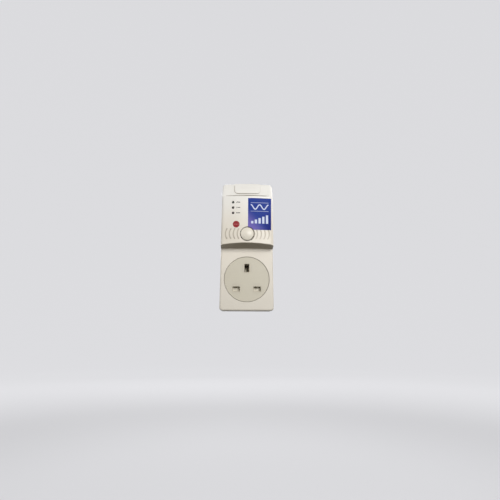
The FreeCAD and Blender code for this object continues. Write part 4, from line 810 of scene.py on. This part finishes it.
def screws_tree(name, made, source):
    """A threaded screw at each point."""
    build, given, out = shape_tree(name, {
        "Shank Radius": 1 * MM, "Thread Start": 4 * MM, "Thread Length": 10 * MM, "Pitch": 1 * MM,
        "Thread Height": 0.2 * MM})
    body = build.add("GeometryNodeObjectInfo", {"Object": source}).outputs["Geometry"]
    line = build.first("GeometryNodeCurveSpiral", {
        "Resolution": 28, "Rotations": build.over(given["Thread Length"], given["Pitch"]),
        "Start Radius": given["Shank Radius"], "End Radius": given["Shank Radius"],
        "Height": given["Thread Length"]})
    ridge = build.first("GeometryNodeCurvePrimitiveCircle", {
        "Resolution": 3, "Radius": given["Thread Height"]})
    thread = build.first("GeometryNodeCurveToMesh", {
        "Curve": line, "Profile Curve": ridge, "Fill Caps": True})
    shift = build.first("ShaderNodeCombineXYZ", {
        "Y": build.product(given["Thread Start"], -1.0)})
    placed = build.first("GeometryNodeTransform", {
        "Geometry": thread, "Translation": shift, "Rotation": (math.radians(90), 0, 0)})
    whole = build.add("GeometryNodeJoinGeometry")
    for part in (body, placed):
        build.tree.links.new(part, whole.inputs[0])
    finish_shape(build, spread(build, given["Geometry"], whole.outputs[0]), out, made)
    return build.tree


def screws(node, head_height, shank_radius, pitch, cross, made):
    """Finer screws in the places and sizes of a CAD node's solids."""
    places = islands(node)
    low, high = places[0]
    head_radius, length = (high.x - low.x) / 2, high.y - low.y
    core = shank_radius - pitch * 0.12
    form = screw_form(node + "_form", head_radius, head_height, core, length, cross)
    points = [Vector(((low.x + high.x) / 2, high.y, (low.z + high.z) / 2)) for low, high in places]
    start = head_height + pitch * 0.6
    turns = [0.6 * number for number in range(len(points))]
    piece = grown(node + "_fine", point_mesh(node, points, turns), screws_tree(node, made, form), {
        "Shank Radius": core, "Thread Start": start, "Pitch": pitch, "Thread Height": pitch * 0.2,
        "Thread Length": length - start - shank_radius * 1.4})
    bpy.data.objects.remove(form)
    return stand_in(piece, node)


def belt(work, first, second):
    """Close the band between two rings with four-sided faces."""
    for step in range(len(first)):
        after = (step + 1) % len(first)
        work.faces.new((first[step], first[after], second[after], second[step]))


def solder_form(name):
    """A solder joint along Y, with a hollow flank and a cut lead in its middle."""
    outline = [(0.0, -0.05), (0.95, -0.05), (0.95, 0.02), (0.70, 0.16), (0.50, 0.38), (0.36, 0.66),
               (0.30, 0.72), (0.28, 0.98), (0.22, 1.02), (0.0, 1.03)]
    turned = lathe([(radius * MM, rise * MM) for radius, rise in outline], 20)
    return new_piece(name, to_mesh(turned, name))


def leg_form(name, drop):
    """One bent leg of the controller: out along Z, then down along Y to the board."""
    line = [(-0.1, -0.12), (0.55, -0.12), (0.75, 0.05), (0.80, 0.30), (0.80, drop),
            (0.56, drop), (0.56, 0.34), (0.50, 0.18), (0.38, 0.12), (-0.1, 0.12)]
    work = bmesh.new()
    ends = [[work.verts.new((side * 0.25 * MM, y * MM, z * MM)) for z, y in line] for side in (-1, 1)]
    belt(work, *ends)
    work.faces.new(ends[0])
    work.faces.new(ends[1])
    bmesh.ops.recalc_face_normals(work, faces=work.faces)
    return new_piece(name, to_mesh(work, name, 30))


def lead_pair(low, high, inset):
    """Two leads set in from both ends of a part, at its middle height."""
    return [(x, (low.z + high.z) / 2) for x in (low.x + inset, high.x - inset)]


def corner_leads(node, aside, down):
    """Four leads set in from the corners of a part."""
    low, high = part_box(node)
    return [(x, z) for x in (low.x + aside, high.x - aside) for z in (low.z + down, high.z - down)]


def lead_places():
    """X and Z of the leads that come through the board."""
    places = corner_leads("relay", 2 * MM, 2.4 * MM)
    low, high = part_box("film_capacitor")
    places += [((low.x + high.x) / 2, z) for z in (low.z + 1.6 * MM, high.z - 1.6 * MM)]
    for low, high in islands("electrolytic_capacitors") + islands("varistors"):
        x, _, z = (low + high) / 2
        places += [(x, z - 1.8 * MM), (x, z + 1.8 * MM)]
    for low, high in islands("resistors") + islands("rectifier_diodes"):
        places += lead_pair(low, high, 0.3 * MM)
    for node in ("green_led", "amber_led", "red_led"):
        places += lead_pair(*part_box(node), 0.85 * MM)
    return places + corner_leads("push_switch", 1.2 * MM, 1.2 * MM)


def leg_places():
    """X, Z and turn of the controller's legs, along its two long sides."""
    low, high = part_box("controller_chip")
    pitch = 2.54 * MM
    return [((low.x + high.x) / 2 + (number - 3.5) * pitch, z, turn) for number in range(8)
            for z, turn in ((high.z, 0.0), (low.z, math.pi))]


# printing


def stroke(points, width):
    """The outlines of a line drawn through points, one four-sided outline for each stretch."""
    outlines = []
    for start, end in zip(points, points[1:]):
        start, end = Vector(start), Vector(end)
        way = (end - start).normalized() * width / 2
        side = Vector((-way.y, way.x))
        outlines.append([start - way - side, end + way - side, end + way + side, start - way + side])
    return outlines


def circle(centre, radius, steps=40):
    """Points round a circle."""
    return [(centre[0] + radius * math.cos(math.tau * step / steps),
             centre[1] + radius * math.sin(math.tau * step / steps)) for step in range(steps)]


def printed(name, node, outlines, made, lift=0.03 * MM):
    """Lay outlines, drawn in X and Z, on the front of a CAD node as a thin film of ink."""
    thickness = 0.12 * MM
    mesh = frame["nodes"][node].data
    skin = BVHTree.FromPolygons([vert.co for vert in mesh.vertices],
                                [face.vertices for face in mesh.polygons])
    work = bmesh.new()
    for outline in outlines:
        heart = sum((Vector(point) for point in outline), Vector((0, 0))) / len(outline)
        rims = []
        for depth in (0.0, thickness):
            rings = []
            for share in (1.0, 0.5):
                ring = []
                for point in outline:
                    x, z = heart.lerp(Vector(point), share)
                    touch = skin.ray_cast(Vector((x, -1, z)), Vector((0, 1, 0)))[0]
                    ring.append(work.verts.new((x, touch.y - lift + depth, z)))
                rings.append(ring)
            work.faces.new(rings[1])
            belt(work, *rings)
            rims.append(rings[0])
        belt(work, *rims)
    bmesh.ops.recalc_face_normals(work, faces=work.faces)
    piece = new_piece(name, to_mesh(work, name, 30))
    return ride_with(piece, node, made)


class ProtectorOperator:
    """What every operator here shares."""

    bl_options = {"REGISTER", "UNDO"}


class PROTECTOR_OT_stage(ProtectorOperator, bpy.types.Operator):
    """Set the camera, the lamps, the floor and the backdrop"""

    bl_idname = "protector.stage"
    bl_label = "Stage"

    def execute(self, context):
        settings = context.scene.protector_stage
        self.camera(context, settings)
        self.lamps(settings)
        self.sky(context, settings)
        self.floor(settings)
        return {"FINISHED"}

    def camera(self, context, settings):
        """The photo's own viewing angle."""
        data = bpy.data.cameras.new("camera")
        data.angle = settings.camera_view
        data.clip_start = 0.01
        camera = new_piece("camera", data)
        turn = (Matrix.Rotation(-settings.camera_yaw, 4, "Z")
                @ Matrix.Rotation(math.radians(90) + settings.camera_pitch, 4, "X")
                @ Matrix.Rotation(settings.camera_roll, 4, "Z"))
        camera.matrix_world = Matrix.Translation(settings.camera_place) @ turn
        context.scene.camera = camera
        context.scene.view_settings.view_transform = "Standard"

    def lamps(self, settings):
        """A broad lamp in front on the right, one behind, and weaker ones all round."""
        aim = Vector((0, -0.02, -0.02))
        for name, place, size, power in (
                ("key_lamp", (0.32, -1.04, 0.24), 0.45, settings.key),
                ("fill_lamp", (-0.70, -0.85, 0.20), 0.60, settings.fill),
                ("right_lamp", (1.00, 0.10, 0.68), 0.60, settings.fill * 2.7),
                ("left_lamp", (-1.00, 0.10, 0.68), 0.60, settings.fill * 2.3),
                ("back_lamp", (-0.12, 1.00, 0.34), 0.70, settings.key * 0.7),
                ("rear_lamp", (0.65, 0.75, 0.45), 0.60, settings.fill)):
            data = bpy.data.lights.new(name, "AREA")
            data.shape = "DISK"
            data.size = size
            data.energy = power
            lamp = new_piece(name, data)
            lamp.visible_camera = False
            lamp.rotation_euler = (aim - Vector(place)).to_track_quat("-Z", "Y").to_euler()
            lamp.location = place

    def sky(self, context, settings):
        """An even light all round."""
        world = bpy.data.worlds.new("sky")
        world.use_nodes = True
        Tree(world.node_tree).feed_all(world.node_tree.nodes["Background"].inputs, {
            "Color": (1, 1, 1), "Strength": settings.sky})
        context.scene.world = world

    def floor(self, settings):
        """A pale round floor that curves up into a wall all round."""
        level, reach, bend, tall, steps = -settings.floor_drop, 2.2, 0.7, 3.0, 24
        outline = [(0.0, level)]
        for step in range(steps + 1):
            angle = math.radians(90) * step / steps
            outline.append((reach - bend + bend * math.sin(angle), level + bend - bend * math.cos(angle)))
        outline.append((reach, tall))
        work = lathe(outline, 96, "Z")
        bmesh.ops.reverse_faces(work, faces=work.faces)
        floor = new_piece("floor", to_mesh(work, "floor", 90))
        made, build, shader = new_material("studio_paper")
        ray = build.add("ShaderNodeLightPath").outputs
        seen = build.most(ray["Is Camera Ray"], ray["Is Glossy Ray"], ray["Is Transmission Ray"])
        x, y, height = build.parts(build.place())
        away = build.reach(x, y)
        dull, near, far = (tuple(part * share for part in settings.backdrop)
                           for share in (0.07, 0.32, 0.12))
        pale = build.blend(build.ramp(away, 0.22, 0.65), near, far)
        faint = build.ramp(height, level, level + bend, 0.0, settings.sky)
        bright = build.ramp(away, 0.2, 1.2, settings.glow * 0.6, settings.glow)
        build.feed_all(shader, {
            "Base Color": build.blend(seen, dull, pale), "Roughness": 0.9, "Specular IOR Level": 0.1,
            "Emission Color": settings.backdrop,
            "Emission Strength": build.first("ShaderNodeMix", {0: seen, 2: faint, 3: bright})})
        floor.data.materials.append(made)


class PROTECTOR_OT_case(ProtectorOperator, bpy.types.Operator):
    """Finish the two shells of the case"""

    bl_idname = "protector.case"
    bl_label = "Case"

    def execute(self, context):
        settings = context.scene.protector_case
        made = plastic("cream_case", settings.case, 0.44, paint=case_paint)
        soften("front_housing", 0.15 * MM, made)
        soften("rear_housing", 0.2 * MM, made)
        return {"FINISHED"}


class PROTECTOR_OT_outlet(ProtectorOperator, bpy.types.Operator):
    """Finish the outlet face, its shutter and what lies behind it"""

    bl_idname = "protector.outlet"
    bl_label = "Outlet"

    def execute(self, context):
        settings = context.scene.protector_case
        face = plastic("outlet_face", settings.outlet, 0.46, paint=outlet_paint)
        soften("socket_insert", 0.15 * MM, face)
        soften("shutter", 0.2 * MM, plastic("shutter", settings.shutter, 0.40))
        soften("contact_carrier", 0.25 * MM, plastic("contact_carrier", tone(228, 222, 208), 0.5))
        works = context.scene.protector_works
        brass = metal("contact_brass", works.brass, tone(150, 110, 62))
        for node in ("line_contact", "neutral_contact", "earth_contact", "earth_strap", "line_strap",
                     "neutral_strap", "neutral_tap"):
            soften(node, 0.12 * MM, brass)
        return {"FINISHED"}


class PROTECTOR_OT_button(ProtectorOperator, bpy.types.Operator):
    """Finish the push button and its switch"""

    bl_idname = "protector.button"
    bl_label = "Button"

    def execute(self, context):
        settings = context.scene.protector_case
        cap = plastic("button_cap", settings.button, 0.42, grain=0.4 * MM, paint=button_paint)
        soften("reset_button", 0.35 * MM, cap, 3)
        soften("push_switch", 0.2 * MM, plastic("switch_black", tone(30, 30, 32), 0.5))
        soften("switch_plunger", 0.2 * MM, plastic("plunger", tone(214, 210, 200), 0.45))
        return {"FINISHED"}


class PROTECTOR_OT_lamps(ProtectorOperator, bpy.types.Operator):
    """Finish the three unlit indicator lamps"""

    bl_idname = "protector.lamps"
    bl_label = "Lamps"

    def execute(self, context):
        for node, colour in (("green_led", tone(16, 36, 22)), ("amber_led", tone(42, 30, 14)),
                             ("red_led", tone(40, 14, 14))):
            dress(node, plastic(node + "_lens", colour, 0.16, soil=0.02, depth=0.002 * MM, coat=0.3))
        return {"FINISHED"}


class PROTECTOR_OT_prints(ProtectorOperator, bpy.types.Operator):
    """Finish the label, and print the disc and the marks beside the lamps"""

    bl_idname = "protector.prints"
    bl_label = "Prints"

    def execute(self, context):
        settings = context.scene.protector_prints
        dress("front_label", plastic("label_film", settings.label, 0.42, soil=0.02, grain=0.8 * MM,
                                     depth=0.003 * MM, gloss=0.05, paint=label_paint))
        red, white = ink("red_ink", settings.disc), ink("white_ink", settings.disc_mark)
        grey = ink("grey_ink", settings.mark, 0.02)
        centre = Vector((-11.6, -1.7)) * MM
        printed("printed_disc", "front_housing", [circle(centre, settings.disc_radius)], red)
        bars, pitch, width = [], 2.05 * MM, 0.55 * MM
        for number, half in enumerate((0.32, 0.5, 0.32)):
            place, reach = centre + Vector(((number - 1) * pitch, 0)), Vector((half * MM, 0))
            bars += stroke([place - reach, place + reach], width)
        printed("disc_bars", "front_housing", bars, white, 0.05 * MM)
        self.marks(grey)
        return {"FINISHED"}

    def marks(self, made):
        """A plain sign beside each lamp: a tick, a clock face and a cross, each with a dash."""
        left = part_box("green_led")[1].x + 1.6 * MM
        bold, rim_width, hand_width, dash_width = 0.42 * MM, 0.22 * MM, 0.18 * MM, 0.75 * MM
        for node, sign in (("green_led", "tick"), ("amber_led", "clock"), ("red_led", "cross")):
            height = middle(node).z

            def at(x, z):
                return left + x * MM, height + z * MM

            if sign == "tick":
                lines = stroke([at(0.1, 0.0), at(0.6, -0.5), at(1.5, 0.6)], bold)
            elif sign == "clock":
                rim = circle(at(0.8, 0.0), 0.62 * MM, 16)
                lines = stroke(rim + rim[:1], rim_width)
                lines += stroke([at(0.8, 0.35), at(0.8, 0.0), at(1.05, 0.0)], hand_width)
            else:
                lines = stroke([at(0.3, -0.5), at(1.3, 0.5)], bold)
                lines += stroke([at(0.3, 0.5), at(1.3, -0.5)], bold)
            lines += stroke([at(2.3, 0.0), at(3.7, 0.0)], dash_width)
            printed(sign + "_mark", "front_housing", lines, made)


class PROTECTOR_OT_plug(ProtectorOperator, bpy.types.Operator):
    """Finish the pins, their sleeves and the fuse"""

    bl_idname = "protector.plug"
    bl_label = "Plug and fuse"

    def execute(self, context):
        works = context.scene.protector_works
        brass = metal("pin_brass", works.brass, tone(158, 120, 72), 0.24, (1.0, 0.04, 1.0))
        for node in ("line_pin", "neutral_pin", "earth_pin"):
            soften(node, 0.35 * MM, brass, 3)
        for node in ("line_fuse_clip", "load_fuse_clip"):
            soften(node, 0.12 * MM, brass)
        soften("pin_sleeves", 0.15 * MM, plastic("pin_sleeve", tone(34, 34, 36), 0.45))
        soften("fuse_carrier", 0.2 * MM, plastic("fuse_drawer", works.drawer, 0.4))
        dress("fuse_barrel", plastic("fuse_ceramic", tone(226, 220, 206), 0.55, soil=0.06))
        dress("fuse_caps", metal("fuse_cap", tone(208, 196, 160), tone(150, 132, 96), 0.22))
        return {"FINISHED"}


class PROTECTOR_OT_board(ProtectorOperator, bpy.types.Operator):
    """Finish the circuit board and the parts on it"""

    bl_idname = "protector.board"
    bl_label = "Board"

    def execute(self, context):
        works = context.scene.protector_works
        dress("circuit_board", plastic("board_coating", works.board, 0.3, depth=0.004 * MM, coat=0.3,
                                       paint=board_paint))
        soften("relay", 0.25 * MM, plastic("relay_case", tone(36, 66, 122), 0.4))
        soften("film_capacitor", 0.5 * MM, plastic("film_case", tone(196, 158, 52), 0.45), 3)
        dress("electrolytic_capacitors", plastic("can_sleeve", tone(34, 36, 48), 0.3, paint=band_paint(
            12.2 * MM, 4 * MM, [tone(150, 152, 160)])))
        dress("varistors", plastic("varistor_coat", tone(36, 78, 140), 0.35))
        soften("controller_chip", 0.1 * MM, plastic("chip_case", tone(26, 26, 28), 0.55))
        bands = [tone(120, 70, 30), tone(20, 20, 20), tone(190, 60, 30), tone(190, 150, 60)]
        dress("resistors", plastic("resistor_coat", tone(206, 180, 136), 0.4, paint=band_paint(
            6.2 * MM, 1.2 * MM, bands)))
        dress("rectifier_diodes", plastic("diode_case", tone(28, 28, 30), 0.4, paint=band_paint(
            18.8 * MM, 1.2 * MM, [tone(200, 200, 202)])))
        tin = metal("solder", tone(196, 197, 200), tone(150, 151, 150), 0.22, (1.0, 1.0, 1.0))
        low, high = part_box("circuit_board")
        legs = leg_places()
        joints = [(x, high.y, z) for x, z in lead_places()]
        joints += [(x, high.y, z + math.cos(turn) * 0.7 * MM) for x, z, turn in legs]
        scattered("solder_joints", solder_form("solder_form"), joints, [0.0] * len(joints),
                  "circuit_board", tin)
        level = middle("controller_chip").y
        drop = (low.y - level) / MM
        scattered("controller_legs", leg_form("leg_form", drop), [(x, level, z) for x, z, turn in legs],
                  [turn for x, z, turn in legs], "controller_chip", tin)
        return {"FINISHED"}


class PROTECTOR_OT_fasteners(ProtectorOperator, bpy.types.Operator):
    """Finish the screws and wind the two springs"""

    bl_idname = "protector.fasteners"
    bl_label = "Screws and springs"

    def execute(self, context):
        works = context.scene.protector_works
        steel = metal("screw_steel", works.steel, tone(140, 138, 132), 0.26, (1.0, 1.0, 1.0))
        screws("housing_screws", 2.0 * MM, 1.4 * MM, 1.1 * MM, 1.6 * MM, steel)
        screws("board_screws", 1.6 * MM, 1.1 * MM, 0.9 * MM, 1.15 * MM, steel)
        spring = coil("button_spring", "Y", works.button_turns, 0.25 * MM, steel)
        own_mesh(spring)
        spring = coil("shutter_spring", "Z", works.shutter_turns, 0.2 * MM, steel)
        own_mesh(spring)
        return {"FINISHED"}


OPERATORS = (
    PROTECTOR_OT_stage, PROTECTOR_OT_case, PROTECTOR_OT_outlet, PROTECTOR_OT_button, PROTECTOR_OT_lamps,
    PROTECTOR_OT_prints, PROTECTOR_OT_plug, PROTECTOR_OT_board, PROTECTOR_OT_fasteners,
)


class PROTECTOR_PT_panel(bpy.types.Panel):
    """The sidebar panel with the settings and the steps."""

    bl_idname = "PROTECTOR_PT_panel"
    bl_label = "Protector"
    bl_space_type = "VIEW_3D"
    bl_region_type = "UI"
    bl_category = "Protector"

    def draw(self, context):
        for operator in OPERATORS:
            self.layout.operator(operator.bl_idname)
        for name, settings in SETTINGS:
            group = getattr(context.scene, name)
            box = self.layout.box()
            for label in settings.__annotations__:
                box.prop(group, label)


SETTINGS = (
    ("protector_case", CaseSettings),
    ("protector_prints", PrintSettings),
    ("protector_works", WorksSettings),
    ("protector_stage", StageSettings),
)


def register():
    """Make the settings, the steps and the panel known."""
    for name, settings in SETTINGS:
        bpy.utils.register_class(settings)
        setattr(bpy.types.Scene, name, bpy.props.PointerProperty(type=settings))
    for operator in OPERATORS:
        bpy.utils.register_class(operator)
    bpy.utils.register_class(PROTECTOR_PT_panel)


def unregister():
    """Take them away again."""
    bpy.utils.unregister_class(PROTECTOR_PT_panel)
    for operator in reversed(OPERATORS):
        bpy.utils.unregister_class(operator)
    for name, settings in reversed(SETTINGS):
        delattr(bpy.types.Scene, name)
        bpy.utils.unregister_class(settings)


def main():
    """Run every step in order."""
    register()
    for operator in OPERATORS:
        group, name = operator.bl_idname.split(".")
        getattr(getattr(bpy.ops, group), name)()


if __name__ == "__main__":
    main()
